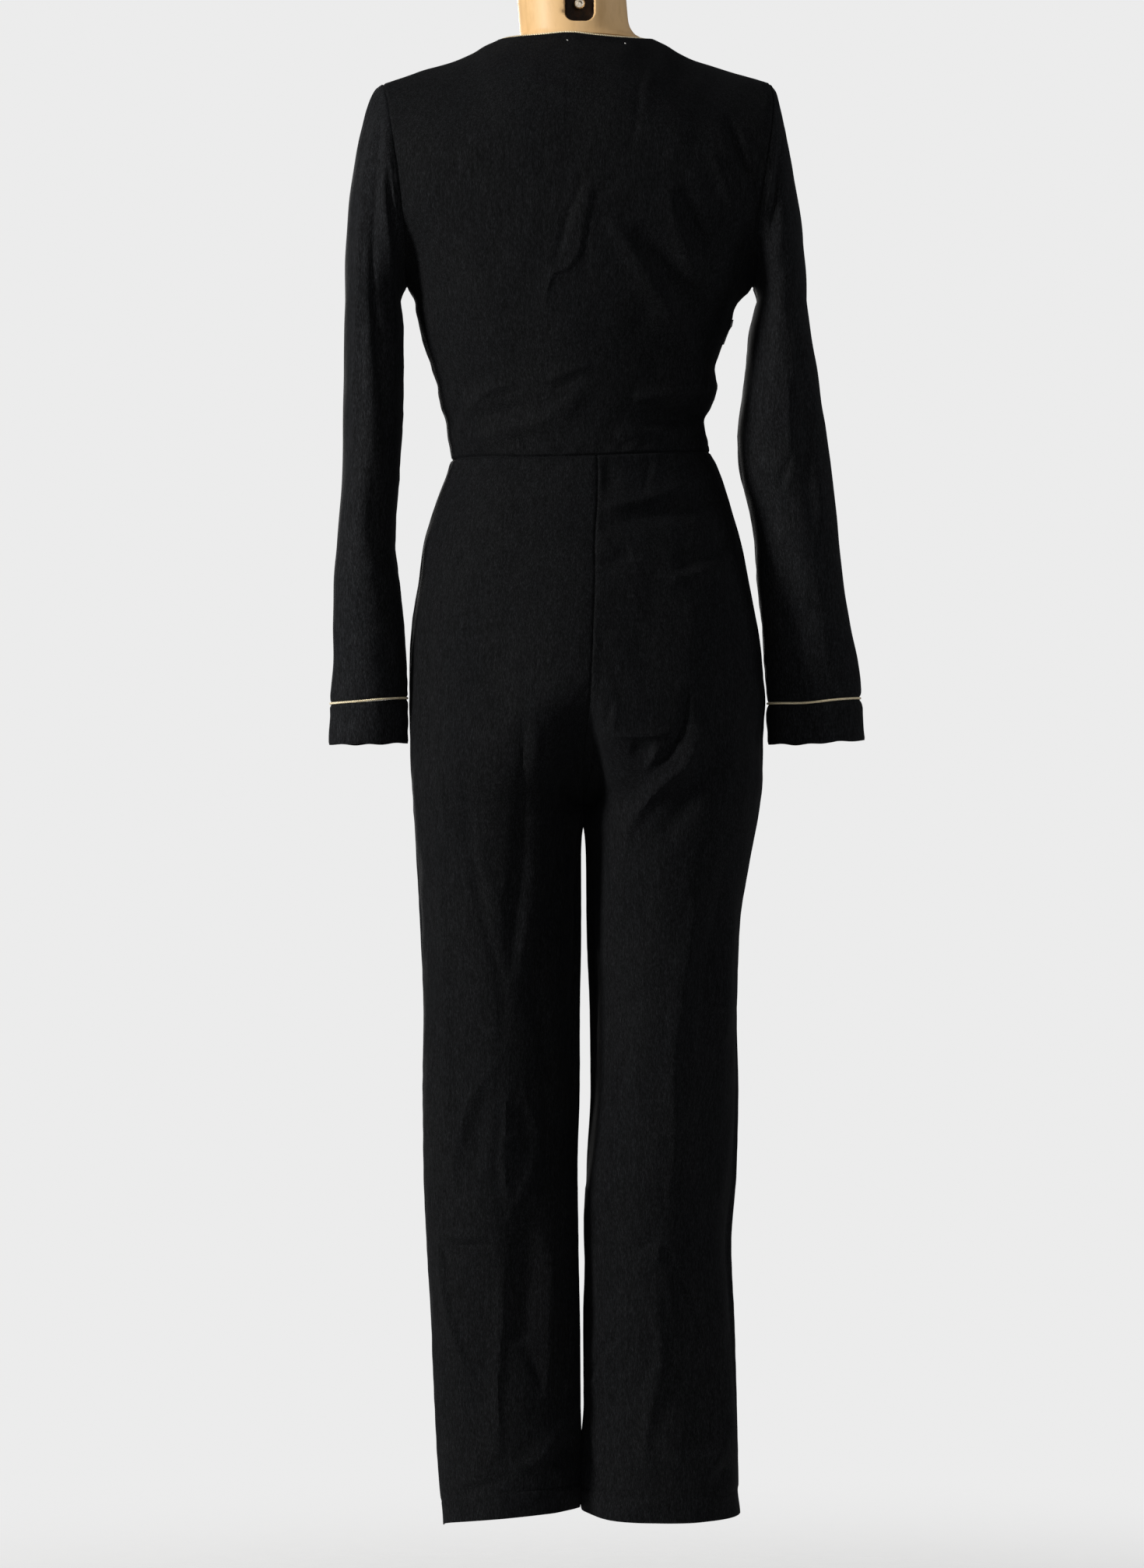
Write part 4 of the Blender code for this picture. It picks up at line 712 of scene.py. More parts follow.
def eased(count, which):
    """Places from 0 to 1, closer together at the start, at the end or at both."""
    t = np.linspace(0.0, 1.0, count + 1)
    if which == "both":
        t = t - EASE * np.sin(2.0 * math.pi * t) / (2.0 * math.pi)
    else:
        bend = EASE * np.sin(math.pi * t) / math.pi
        t = t - bend if which == "start" else t + bend
    fine = np.array(SEAM_PLACES)
    past = fine[-1] * SEAM_PLACES_END
    low = past if which != "end" else 0.0
    high = 1.0 - past if which != "start" else 1.0
    t = low + (high - low) * t
    parts = [t]
    if which != "end":
        parts.insert(0, fine)
    if which != "start":
        parts.append(1.0 - fine[::-1])
    return np.concatenate(parts)


def smooth_curve(knots, values):
    """A curve through the knots that never swings past a value."""
    knots = np.asarray(knots, dtype=float)
    values = np.asarray(values, dtype=float)
    steps = np.diff(knots)
    slopes = np.diff(values) / steps
    tangents = np.empty_like(values)
    tangents[0] = slopes[0]
    tangents[-1] = slopes[-1]
    turning = slopes[:-1] * slopes[1:] <= 0.0
    total = np.where(turning, 1.0, slopes[:-1] + slopes[1:])
    tangents[1:-1] = np.where(turning, 0.0, 2.0 * slopes[:-1] * slopes[1:] / total)

    def at(position):
        position = np.clip(position, knots[0], knots[-1])
        span = np.clip(np.searchsorted(knots, position) - 1, 0, len(steps) - 1)
        t = (position - knots[span]) / steps[span]
        start, end, leave, arrive = span_weights(t)
        return (start * values[span] + end * values[span + 1]
                + leave * steps[span] * tangents[span] + arrive * steps[span] * tangents[span + 1])

    return at


def read_table(columns, rows):
    """A smooth curve for each named column, as a function of the first one."""
    table = np.array(sorted(rows))
    return {name: smooth_curve(table[:, 0], table[:, number])
            for number, name in enumerate(columns) if number > 0}


BODICE = read_table(BODICE_COLUMNS, BODICE_ROWS)
TROUSER = read_table(TROUSER_COLUMNS, TROUSER_ROWS)
SLEEVE = {side: read_table(SLEEVE_COLUMNS, rows) for side, rows in SLEEVE_TABLE.items()}
SHOULDER = smooth_curve(*zip(*SHOULDER_LINE))
WRAP = smooth_curve(*zip(*WRAP_ROWS))
LEG_SPREAD = smooth_curve(*zip(*LEG_SPREAD_ROWS))
SEAM_DRIFT = smooth_curve(*zip(*SEAM_DRIFT_ROWS))
WAIST_LIFT = smooth_curve(*zip(*WAIST_LIFT_ROWS))


# ---- Surfaces ----
def wrap_angle(height):
    """How far round its own arc a bodice section reaches from the centre to its edge."""
    return np.radians(WRAP(height))


def side_closing(height):
    """1 where the section closes at a side seam, falling to 0 up the round of the armhole."""
    rise = np.clip((height - UNDERARM) / ARMHOLE_TURN, 0.0, 1.0)
    return 1.0 - np.sqrt(1.0 - (1.0 - rise) ** 2)


def underarm_flare(height):
    """How far the sleeve draws the side of the bodice out at the underarm."""
    reach = np.where(height < UNDERARM, FLARE_BELOW, FLARE_ABOVE)
    return UNDERARM_FLARE * bell(height - UNDERARM, reach)


def section_depth(across, height):
    """The share of its full depth that a bodice section has at each place across."""
    wrap = wrap_angle(height)
    rise = (height - UNDERARM + CLOSING_START) / (ARMHOLE_TURN + CLOSING_START)
    soft = 1.0 - smooth_share(rise)
    edge = np.abs(across) ** CLOSING_EDGE_POWER
    closing = side_closing(height) * edge + soft * (np.abs(across) ** CLOSING_POWER - edge)
    return np.cos(across * wrap) - np.cos(wrap) * closing


def shoulder_cap(distance_below_ridge):
    """1 well below the shoulder line, falling to 0 on it along a quarter round."""
    share = np.clip(distance_below_ridge / SHOULDER_ROUND, 0.0, 1.0)
    return np.sqrt(np.clip(1.0 - (1.0 - share) ** 2, 0.0, 1.0))


def panel_depth(table, facing, height):
    """How far the back (facing 1) or the front (facing -1) stands out."""
    return table["back" if facing > 0 else "front"](height)


def bodice_point(across, height, facing):
    """A point of the bodice: across runs from -1 to 1 between the side edges."""
    wrap = wrap_angle(height)
    offset = BODICE["half_width"](height) * np.sin(across * wrap) / np.sin(wrap)
    offset = offset + underarm_flare(height) * across * np.abs(across) ** FLARE_POWER
    depth = panel_depth(BODICE, facing, height)
    cap = shoulder_cap(SHOULDER(np.abs(offset)) - height)
    y = facing * depth * section_depth(across, height) * cap
    return np.stack([offset + BODICE["lean"](height), y, height], axis=-1)


def neck_share():
    """The share of the half panel that the neck opening takes, at the shoulder."""
    wrap = wrap_angle(NECK_POINT)
    reach = NECK_POINT_X * math.sin(wrap) / BODICE["half_width"](NECK_POINT)
    return math.asin(reach) / wrap


def bodice_columns(facing):
    """Column places from 0 at the centre to 1 at the side, close together at the neck point."""
    neck = neck_share()
    count = NECK_COLUMNS[facing]
    near = [neck * math.sin(0.5 * math.pi * k / count) for k in range(count)]
    far = neck + (1.0 - neck) * eased(SHOULDER_COLUMNS[facing], "end")
    half = near + far.tolist()
    return np.array([-value for value in half[:0:-1]] + half)


def bodice_top(across, facing):
    """The height where each column ends: the neck edge, then the shoulder seam."""
    share = np.abs(across)
    neck = neck_share()
    wrap = wrap_angle(NECK_POINT)
    offset = BODICE["half_width"](NECK_POINT) * np.sin(share * wrap) / math.sin(wrap)
    low = NAPE if facing > 0 else V_BOTTOM
    rise = (share / neck) ** 2 if facing > 0 else share / neck
    neck_edge = low + (NECK_POINT - low) * np.clip(rise, 0.0, 1.0)
    return np.where(share < neck - TINIEST, neck_edge, SHOULDER(offset))


def armhole_places():
    """Places from 0 at the underarm to 1 at the shoulder tip, closer together at both ends."""
    return 0.5 - 0.5 * np.cos(np.pi * np.arange(ARMHOLE_ROWS + 1) / ARMHOLE_ROWS)


def bodice_grid(facing):
    """Outer points of the bodice back (facing 1) or front (facing -1)."""
    across = bodice_columns(facing)
    top = bodice_top(across, facing)
    bottom = WAIST + 0.5 * SEAM
    low = (bottom + (UNDERARM - bottom) * eased(BODY_ROWS[facing], "start"))[:-1]
    rows = [np.full_like(across, height) for height in low]
    rows += [UNDERARM + (top - UNDERARM) * share for share in armhole_places()]
    height = np.array(rows)
    across = np.broadcast_to(across, height.shape)
    grid = bodice_point(across, height, facing)
    side = facing * 0.5 * SEAM
    grid[..., 1] = np.where(facing * grid[..., 1] < 0.5 * SEAM, side, grid[..., 1])
    return grid


def leg_grid(side, facing):
    """Outer points of one trouser panel, from the hem up; columns run from seam to side."""
    sign = SIDE_SIGN[side]
    level = []
    for (start, _), (end, rows) in zip(LEG_LEVELS, LEG_LEVELS[1:]):
        last = end == LEG_LEVELS[-1][0]
        stop = WAIST - 0.5 * SEAM if last else end
        rows = rows[facing]
        places = eased(rows, "end") if last else np.linspace(0.0, 1.0, rows + 1)
        level.append((start + (stop - start) * places)[0 if start == 0.0 else 1:])
    level = np.concatenate(level)[:, None]
    across = eased(LEG_COLUMNS[facing], "both")[None, :]
    hem_in, hem_out, hem_middle = HEM[side]
    hem = hem_in + (hem_out - hem_in) * across
    if facing > 0:
        hem = hem + hem_middle * 4.0 * across * (1.0 - across)
    hem = hem * np.clip(1.0 - level / HEM_FADE, 0.0, 1.0)
    height = level + hem
    return leg_point(sign, facing, across, height), level < CROTCH - TINY


def leg_point(sign, facing, across, height):
    """A point of a trouser panel: across is 0 at the inseam or centre seam, 1 at the side."""
    name = "left" if sign > 0 else "right"
    outer = sign * TROUSER[name + "_out"](height)
    inner = sign * TROUSER[name + "_in"](height)
    overlap = smooth_share((height - CROTCH) / (SEAT_TOP - CROTCH))
    edge = inner + 0.5 * SEAM
    start = np.where(height < CROTCH - TINIEST, inner, edge - overlap * (outer - inner))
    centre = 0.5 * (outer + start)
    radius = 0.5 * (outer - start)
    depth = panel_depth(TROUSER, facing, height)
    cut = edge + (sign * SEAM_DRIFT(height) if facing > 0 else 0.0)
    side_turn = np.arcsin(0.5 * SEAM / depth)
    seam_turn = np.arccos(np.clip((cut - centre) / radius, -1.0, 1.0))
    seam_turn = np.minimum(seam_turn, math.pi - side_turn)
    spread = np.minimum(np.radians(LEG_SPREAD(height)), seam_turn + PAST_SEAM)
    angle = spread * (1.0 - across) + (seam_turn - spread) * (1.0 - across) ** SEAM_POWER
    angle = angle + side_turn * across
    x = centre + radius * np.cos(angle)
    y = depth * np.sin(angle)
    return np.stack([sign * x, facing * y, height + np.zeros_like(x)], axis=-1)


def armhole_ring(side):
    """Points round the armhole, from the underarm up the back, over the tip, down the front."""
    sign = SIDE_SIGN[side]
    top = bodice_top(np.array([1.0]), 1.0)[0]
    height = UNDERARM + (top - UNDERARM) * armhole_places()
    across = np.full_like(height, sign)
    back = bodice_point(across, height, 1.0)
    front = bodice_point(across, height, -1.0)
    ring = np.concatenate([back, front[-2:0:-1]])
    ring[:, 0] += sign * SEAM
    return ring


def sleeve_ring(side, height):
    """Points round the sleeve at one height, matching the armhole's points."""
    sign = SIDE_SIGN[side]
    table = SLEEVE[side]
    turn = 2.0 * np.pi * np.arange(2 * ARMHOLE_ROWS) / (2 * ARMHOLE_ROWS)
    x = sign * (table["centre"](height) - table["half_width"](height) * np.cos(turn))
    y = table["half_depth"](height) * np.sin(turn) - table["forward"](height)
    return np.stack([x, y, np.full_like(x, height)], axis=-1)


def sleeve_grid(side):
    """Outer points of a sleeve, from the armhole down to the cuff."""
    sign = SIDE_SIGN[side]
    start = armhole_ring(side)
    end = sleeve_ring(side, SLEEVE_TOP)
    length = np.linalg.norm(end - start, axis=1)[:, None]
    leave = length * np.array(SLEEVE_LEAVE[side]) * np.array([sign, 1.0, 1.0])
    arrive = length * np.array(SLEEVE_ARRIVE)
    rows = []
    for step in range(SLEEVE_HEAD_ROWS):
        weights = span_weights(step / SLEEVE_HEAD_ROWS)
        rows.append(weights[0] * start + weights[1] * end + weights[2] * leave + weights[3] * arrive)
    for height in SLEEVE_TOP + (SLEEVE_END - SLEEVE_TOP) * eased(SLEEVE_ROWS, "end"):
        rows.append(sleeve_ring(side, height))
    return np.array(rows)


def cuff_grid(side):
    """Outer points of a cuff, whose lower edge may slope."""
    low_in, low_out = CUFF_END[side]
    rows = []
    for step in range(CUFF_ROWS + 1):
        share = step / CUFF_ROWS
        ring = sleeve_ring(side, CUFF_TOP + (0.5 * (low_in + low_out) - CUFF_TOP) * share)
        slope = 0.5 * (low_out - low_in) * share
        turn = 2.0 * np.pi * np.arange(len(ring)) / len(ring)
        ring[:, 2] -= slope * np.cos(turn)
        rows.append(ring)
    return np.array(rows)


def unit(vectors):
    """The vectors at length 1."""
    return vectors / np.linalg.norm(vectors, axis=-1, keepdims=True)


def grid_normals(grid, closed, piece, sign=1.0):
    """Unit normals of a grid of points, facing away from a point inside the piece."""
    if closed:
        across = np.roll(grid, -1, axis=1) - np.roll(grid, 1, axis=1)
    else:
        across = np.gradient(grid, axis=1)
    normals = unit(np.cross(across, np.gradient(grid, axis=0)))
    x, height = INSIDE[piece]
    outward = np.sum(normals * (grid - np.array([sign * x, 0.0, height]))) > 0.0
    return normals if outward else -normals


def flatten(normals, selection, axis):
    """Take one axis out of the chosen normals, so that a seam's rim stays in its own plane."""
    normals[selection + (Ellipsis, axis)] = 0.0
    normals[selection] = unit(normals[selection])


def neck_edge(facing):
    """Mid-wall points of the neck edge with the surface normals there."""
    grid = bodice_grid(facing)
    normals = grid_normals(grid, False, "bodice")
    shoulder = np.abs(bodice_columns(facing)) > neck_share() - TINY
    flatten(normals, (-1, shoulder), 1)
    neck = np.abs(bodice_columns(facing)) < neck_share() + TINY
    return (grid[-1] - 0.5 * CLOTH * normals[-1])[neck], normals[-1][neck]


# ---- Rings of the torso form ----
def body_depth(x, height, facing):
    """How far the garment stands out from y = 0 at a place x from its centre line."""
    if height >= WAIST:
        wrap = wrap_angle(height)
        limit = np.sin(wrap)
        reach = np.clip(x * limit / BODICE["half_width"](height), -limit, limit)
        across = np.arcsin(reach) / wrap
        depth = panel_depth(BODICE, facing, height)
        ridge = SHOULDER(np.abs(x)) - height
        return depth * section_depth(across, height) * shoulder_cap(ridge)
    half = 0.5 * (TROUSER["left_out"](height) - TROUSER["right_out"](height))
    depth = panel_depth(TROUSER, facing, height)
    return depth * np.sqrt(np.clip(1.0 - (x / half) ** 2, 0.0, 1.0))


def shoulder_reach(height):
    """How far from the centre the shoulder line stands at this height."""
    reach = np.linspace(0.0, SHOULDER_LINE[-1][0], SHOULDER_SAMPLES)
    return float(np.interp(-height, -SHOULDER(reach), reach))


def form_row(height):
    """Half width and centre of the form at one height."""
    if height < WAIST:
        left = TROUSER["left_out"](height)
        right = TROUSER["right_out"](height)
        return 0.5 * (left - right) - CLOTH - FORM_CLEAR, 0.5 * (left + right)
    lean = float(BODICE["lean"](height))
    half = BODICE["half_width"](height) - CLOTH - FORM_CLEAR
    if height > NECK_BASE - TINY:
        flare = max(0.0, 1.0 - (height - NECK_BASE) / NECK_FLARE_HEIGHT)
        return NECK_HALF_WIDTH + NECK_FLARE * flare, lean
    return min(half, shoulder_reach(height + CLOTH + FORM_SEAT)), lean


def cloth_half(height):
    """Half width of the garment's body at one height, up to the neck."""
    if height < WAIST:
        return 0.5 * (TROUSER["left_out"](height) - TROUSER["right_out"](height))
    return min(float(BODICE["half_width"](height)), shoulder_reach(height))


def form_ring(height):
    """Points round the form at one height."""
    half, centre = form_row(height)
    ends = 0.5 * math.pi * form_places()
    x = half * np.sin(ends)
    reach = NECK_SWEEP_REACH if height > NECK_BASE else NECK_SWEEP_LOW
    if height > NECK_BASE - REACH_ENDS * reach:
        sweep = NECK_SWEEP * math.exp(-((height - NECK_BASE) / reach) ** 2)
        x = x - sweep * np.clip(-np.sin(ends), 0.0, 1.0) ** 2
    sides = []
    for facing in (1.0, -1.0):
        if height < NECK_BASE + NECK_FLARE_HEIGHT - TINY:
            level = height + (FORM_DROP if height > WAIST else 0.0)
            place = x * max(1.0, cloth_half(level) / half)
            middle = body_depth(0.0, level, facing)
            y = body_depth(place, level, facing) * (1.0 - (CLOTH + FORM_CLEAR) / middle)
            y = y - (FORM_EDGE if height > SHOULDER_TIP else 0.0)
        else:
            y = NECK_HALF_DEPTH * np.cos(ends)
        if height > NECK_BASE - TINY:
            share = smooth_share((NECK_BLEND_TOP - height) / (NECK_BLEND_TOP - NECK_BASE))
            y = NECK_HALF_DEPTH * np.cos(ends) + share * (y - NECK_HALF_DEPTH * np.cos(ends))
        if facing > 0.0:
            low = math.exp(-((height - FORM_HOLLOW_HEIGHT) / FORM_HOLLOW_TALL) ** 2)
            y = y - FORM_HOLLOW * low * bell(x + centre, FORM_HOLLOW_WIDE)
        y = np.maximum(y, FORM_EDGE)
        sides.append(np.stack([x + centre, facing * y, np.full_like(x, height)], axis=-1))
    return np.concatenate([sides[0], sides[1][::-1]])


# ---- Relief ----
def soft_noise(points, size, seed, stretch=1.0):
    """A smooth uneven value at each point, about -1 to 1, whose waves are about size long."""
    draw = np.random.default_rng(seed)
    total = np.zeros(points.shape[:-1])
    for _ in range(NOISE_WAVES):
        heading = draw.normal(size=3)
        heading = heading / np.linalg.norm(heading) * np.array([1.0, 1.0, 1.0 / stretch])
        pace = 2.0 * math.pi / size * draw.uniform(*NOISE_SPREAD)
        total += np.cos(points @ heading * pace + draw.uniform(0.0, 2.0 * math.pi))
    return total / math.sqrt(NOISE_WAVES)


def smooth_path(points):
    """A smooth line in metres through points in millimetres."""
    knots = MM * np.array(points, dtype=float)
    ends = np.concatenate([2.0 * knots[:1] - knots[1:2], knots, 2.0 * knots[-1:] - knots[-2:-1]])
    path = []
    for i in range(len(knots) - 1):
        before, start, end, after = ends[i:i + 4]
        for t in np.linspace(0.0, 1.0, PATH_STEPS, endpoint=False):
            path.append(0.5 * (2.0 * start + (end - before) * t
                               + (2.0 * before - 5.0 * start + 4.0 * end - after) * t ** 2
                               + (3.0 * start - before - 3.0 * end + after) * t ** 3))
    path.append(knots[-1])
    return np.array(path)


def crease_relief(x, height, creases, seen=False):
    """How far the creases lift the cloth along its normal; seen ones are placed as in the photo."""
    relief = np.zeros_like(x)
    for width, rise, sharper, *points in creases:
        path = smooth_path(points)
        if seen:
            path = VIEW_CENTRE + (path - VIEW_CENTRE) * BACK_NEARNESS
        width = MM * width
        steps = np.diff(path, axis=0)
        lengths = np.linalg.norm(steps, axis=1)
        starts = np.concatenate([[0.0], np.cumsum(lengths)])
        low = path.min(axis=0) - REACH_ENDS * width
        high = path.max(axis=0) + REACH_ENDS * width
        near = (x > low[0]) & (x < high[0]) & (height > low[1]) & (height < high[1])
        px = x[near]
        ph = height[near]
        closest = np.full(px.shape, 1.0)
        side = np.zeros(px.shape)
        along = np.zeros(px.shape)
        for i, (run_x, run_h) in enumerate(steps):
            share = (px - path[i, 0]) * run_x + (ph - path[i, 1]) * run_h
            share = np.clip(share / lengths[i] ** 2, 0.0, 1.0)
            off_x = px - path[i, 0] - share * run_x
            off_h = ph - path[i, 1] - share * run_h
            away = np.hypot(off_x, off_h)
            closer = away < closest
            closest = np.where(closer, away, closest)
            side = np.where(closer, np.sign(run_x * off_h - run_h * off_x), side)
            along = np.where(closer, (starts[i] + share * lengths[i]) / starts[-1], along)
        swell = np.sqrt(np.clip(4.0 * along * (1.0 - along), 0.0, 1.0))
        narrow = np.where(side * np.sign(sharper) > 0.0, 1.0 - abs(sharper), 1.0)
        reach = width * narrow * (CREST_ENDS + (1.0 - CREST_ENDS) * swell)
        power = CREST_POWER + (2.0 - CREST_POWER) * min(1.0, width / CREST_WIDTH)
        relief[near] += MM * rise * swell * bell(closest, reach, power)
    return relief


def run_from(grid, axis, from_end=False):
    """Distance along the grid's lines from its first or last row or column."""
    steps = np.linalg.norm(np.diff(grid, axis=axis), axis=-1)
    start = np.zeros_like(np.take(steps, [0], axis=axis))
    run = np.concatenate([start, np.cumsum(steps, axis=axis)], axis=axis)
    if from_end:
        run = np.take(run, [-1], axis=axis) - run
    return run


def round_run(grid):
    """Distance round each ring of a tube from its seam, the first column; and all the way round."""
    step = np.linalg.norm(np.roll(grid, -1, axis=1) - grid, axis=-1)
    run = np.concatenate([np.zeros_like(step[:, :1]), np.cumsum(step, axis=1)[:, :-1]], axis=1)
    return run, step.sum(axis=1, keepdims=True)


def seam_fade(distance):
    """0 on a seam, rising to 1 away from it, where the cloth is free to crease."""
    return 1.0 - bell(distance, SEAM_REACH)


def seam_relief(distance, grid, seed, strength=1.0):
    """The pressed groove of a seam and the small puckers on both sides of it."""
    groove = -SEAM_GROOVE * bell(distance, SEAM_WIDTH)
    band = bell(distance - PUCKER_OFFSET, PUCKER_REACH)
    band = band * (1.0 - bell(distance, SEAM_WIDTH))
    return strength * (groove + PUCKER_RISE * band * soft_noise(grid, PUCKER_SIZE, seed))


def waist_groove(side):
    """Strength of the waist seam's groove, less where it meets a side seam."""
    return WAIST_GROOVE - SIDE_GROOVE * bell(side, SIDE_GROOVE_REACH)


def drape(grid, seed):
    """The slight unevenness of hanging cloth: long soft waves, and smaller ones."""
    waves = DRAPE_RISE * soft_noise(grid, DRAPE_SIZE, seed, DRAPE_STRETCH)
    return waves + RIPPLE_RISE * soft_noise(grid, RIPPLE_SIZE, seed + 1, RIPPLE_STRETCH)


def inner_closing(height, side):
    """How far a leg's inner edge leans towards the other leg, below the crotch and at the hem."""
    amount, middle, reach = CLOSE_CROTCH
    crotch = amount * bell(height - CROTCH - middle, reach)
    amount, middle, reach = CLOSE_HEM
    hem = amount * bell(height - middle, reach, 4)
    amount, middle, reach = CLOSE_LEG[side]
    leg = amount * bell(height - middle, reach, 4)
    amount, reach = CLOSE_CORNER
    return crotch + hem + leg + amount * bell(height, reach)


def nape_warp(points):
    """Lift the neck edge a little at the nape and let it sink beside it, as it hangs."""
    points = points.copy()
    x = points[..., 0]
    lift = (NAPE_LIFT * bell(x - NAPE_LIFT_X, NAPE_WIDE)
            - NAPE_SINK * bell(x - NAPE_SINK_X, NAPE_WIDE))
    fade = bell(np.minimum(points[..., 2] - NAPE, 0.0), NAPE_FADE)
    points[..., 2] += np.where(points[..., 1] > 0.0, lift * fade, 0.0)
    return points


def cuff_warp(grid, side):
    """Tilt the join of sleeve and cuff, and spread the cuff's lower edge."""
    grid = grid.copy()
    height = grid[..., 2]
    x = grid[..., 0] - SIDE_SIGN[side] * float(SLEEVE[side]["centre"](CUFF_TOP))
    fade = np.where(height > CUFF_TOP, CUFF_FADE, CUFF_FADE_BELOW * CUFF_FADE)
    near = bell(height - CUFF_TOP, fade)
    down = np.clip((CUFF_TOP - height) / (CUFF_TOP - CUFF_END[side][0]), 0.0, 1.0)
    share = np.clip(x / float(SLEEVE[side]["half_width"](CUFF_TOP)), -1.0, 1.0)
    spread_low, spread_high = CUFF_SPREAD[side]
    spread = spread_low * np.minimum(share, 0.0) + spread_high * np.maximum(share, 0.0)
    bow = CUFF_BOW[side] * bell(x - CUFF_BOW_X, CUFF_BOW_WIDE)
    wave = CUFF_HEM_WAVE * np.sin(2.0 * math.pi * x / CUFF_HEM_PITCH + CUFF_HEM_PHASE)
    hem = CUFF_HEM_TILT[side] * x - CUFF_HEM_DROP[side] + wave
    grid[..., 2] += CUFF_TILT[side] * x * near + bow * np.maximum(near, down)
    grid[..., 2] += hem * down * down
    grid[..., 0] += down * spread
    return grid


def waist_warp(grid):
    """Carry the cloth near the waist seam up or down with the seam."""
    grid = grid.copy()
    fade = bell(grid[..., 2] - WAIST, WAIST_LIFT_FADE)
    grid[..., 2] += WAIST_LIFT(grid[..., 0]) * fade
    return grid


# ---- Meshes ----
def mesh_object(name, points, faces, materials, sharp=40.0):
    """A piece from points in hem heights, shaded smooth."""
    mesh = bpy.data.meshes.new(name)
    placed = np.array(points, dtype=float) - np.array([0.0, 0.0, HOOK_HEIGHT])
    mesh.from_pydata(placed.tolist(), [], faces)
    mesh.validate()
    mesh.shade_smooth()
    mesh.set_sharp_from_angle(angle=math.radians(sharp))
    for material in materials:
        mesh.materials.append(material)
    item = bpy.data.objects.new(name, mesh)
    bpy.context.scene.collection.objects.link(item)
    return item


def grid_faces(rows, columns, closed, start=0, flip=False):
    """Faces of a grid of points; the columns meet when it is closed."""
    spans = columns if closed else columns - 1
    row = np.arange(rows - 1)[:, None] * columns
    one = np.arange(spans)[None, :]
    two = (one + 1) % columns
    quads = np.stack([row + one, row + two, row + columns + two, row + columns + one], axis=-1)
    quads = quads.reshape(-1, 4) + start
    return quads[:, ::-1] if flip else quads


def tube_faces(rows, columns):
    """Faces of a tube of points with a flat face at each end."""
    faces = grid_faces(rows, columns, True).tolist()
    last = (rows - 1) * columns
    return faces + [list(range(columns))[::-1], list(range(last, last + columns))]


def faces_out(grid, normals):
    """Whether the grid's faces, as laid, turn the same way as its normals."""
    across = grid[1, 2] - grid[1, 1]
    along = grid[2, 1] - grid[1, 1]
    return float(np.dot(np.cross(across, along), normals[1, 1])) > 0.0


def cloth_shell(name, outer, normals, closed, seed, tone=CLOTH_TONE):
    """A thin shell: the outer points, the same points moved in, and the rims between."""
    rows, columns = outer.shape[:2]
    inner = outer - normals * CLOTH_THIN
    count = rows * columns
    flip = not faces_out(outer, normals)
    faces = [grid_faces(rows, columns, closed, 0, flip),
             grid_faces(rows, columns, closed, count, not flip)]
    start = np.arange(columns if closed else columns - 1)
    end = (start + 1) % columns
    last = count - columns
    rims = [(start, end, flip), (start + last, end + last, not flip)]
    if not closed:
        start = np.arange(rows - 1) * columns
        end = start + columns
        rims += [(start, end, not flip), (start + columns - 1, end + columns - 1, flip)]
    for start, end, turned in rims:
        rim = np.stack([end, start, start + count, end + count], axis=-1)
        faces.append(rim[:, ::-1] if turned else rim)
    points = np.concatenate([outer.reshape(-1, 3), inner.reshape(-1, 3)])
    material = crepe_material(name + "_crepe", seed, tone)
    piece = mesh_object(name, points, np.concatenate(faces).tolist(), [material])
    return piece


def path_run(path):
    """Unit directions along a closed path."""
    return unit(np.roll(path, -1, axis=0) - np.roll(path, 1, axis=0))


def square_to(run, vectors):
    """The part of each vector that stands square to its run, at length 1."""
    return unit(vectors - run * np.sum(vectors * run, axis=1, keepdims=True))


def even_path(path, sideways, spacing):
    """The closed path cut into equal steps, with its sideways directions."""
    closed = np.concatenate([path, path[:1]])
    around = np.concatenate([sideways, sideways[:1]])
    lengths = np.linalg.norm(np.diff(closed, axis=0), axis=1)
    run = np.concatenate([[0.0], np.cumsum(lengths)])
    count = int(round(run[-1] / spacing))
    places = np.linspace(0.0, run[-1], count, endpoint=False)
    even = np.stack([np.interp(places, run, closed[:, k]) for k in range(3)], axis=1)
    turned = np.stack([np.interp(places, run, around[:, k]) for k in range(3)], axis=1)
    return even, unit(turned), run[-1]


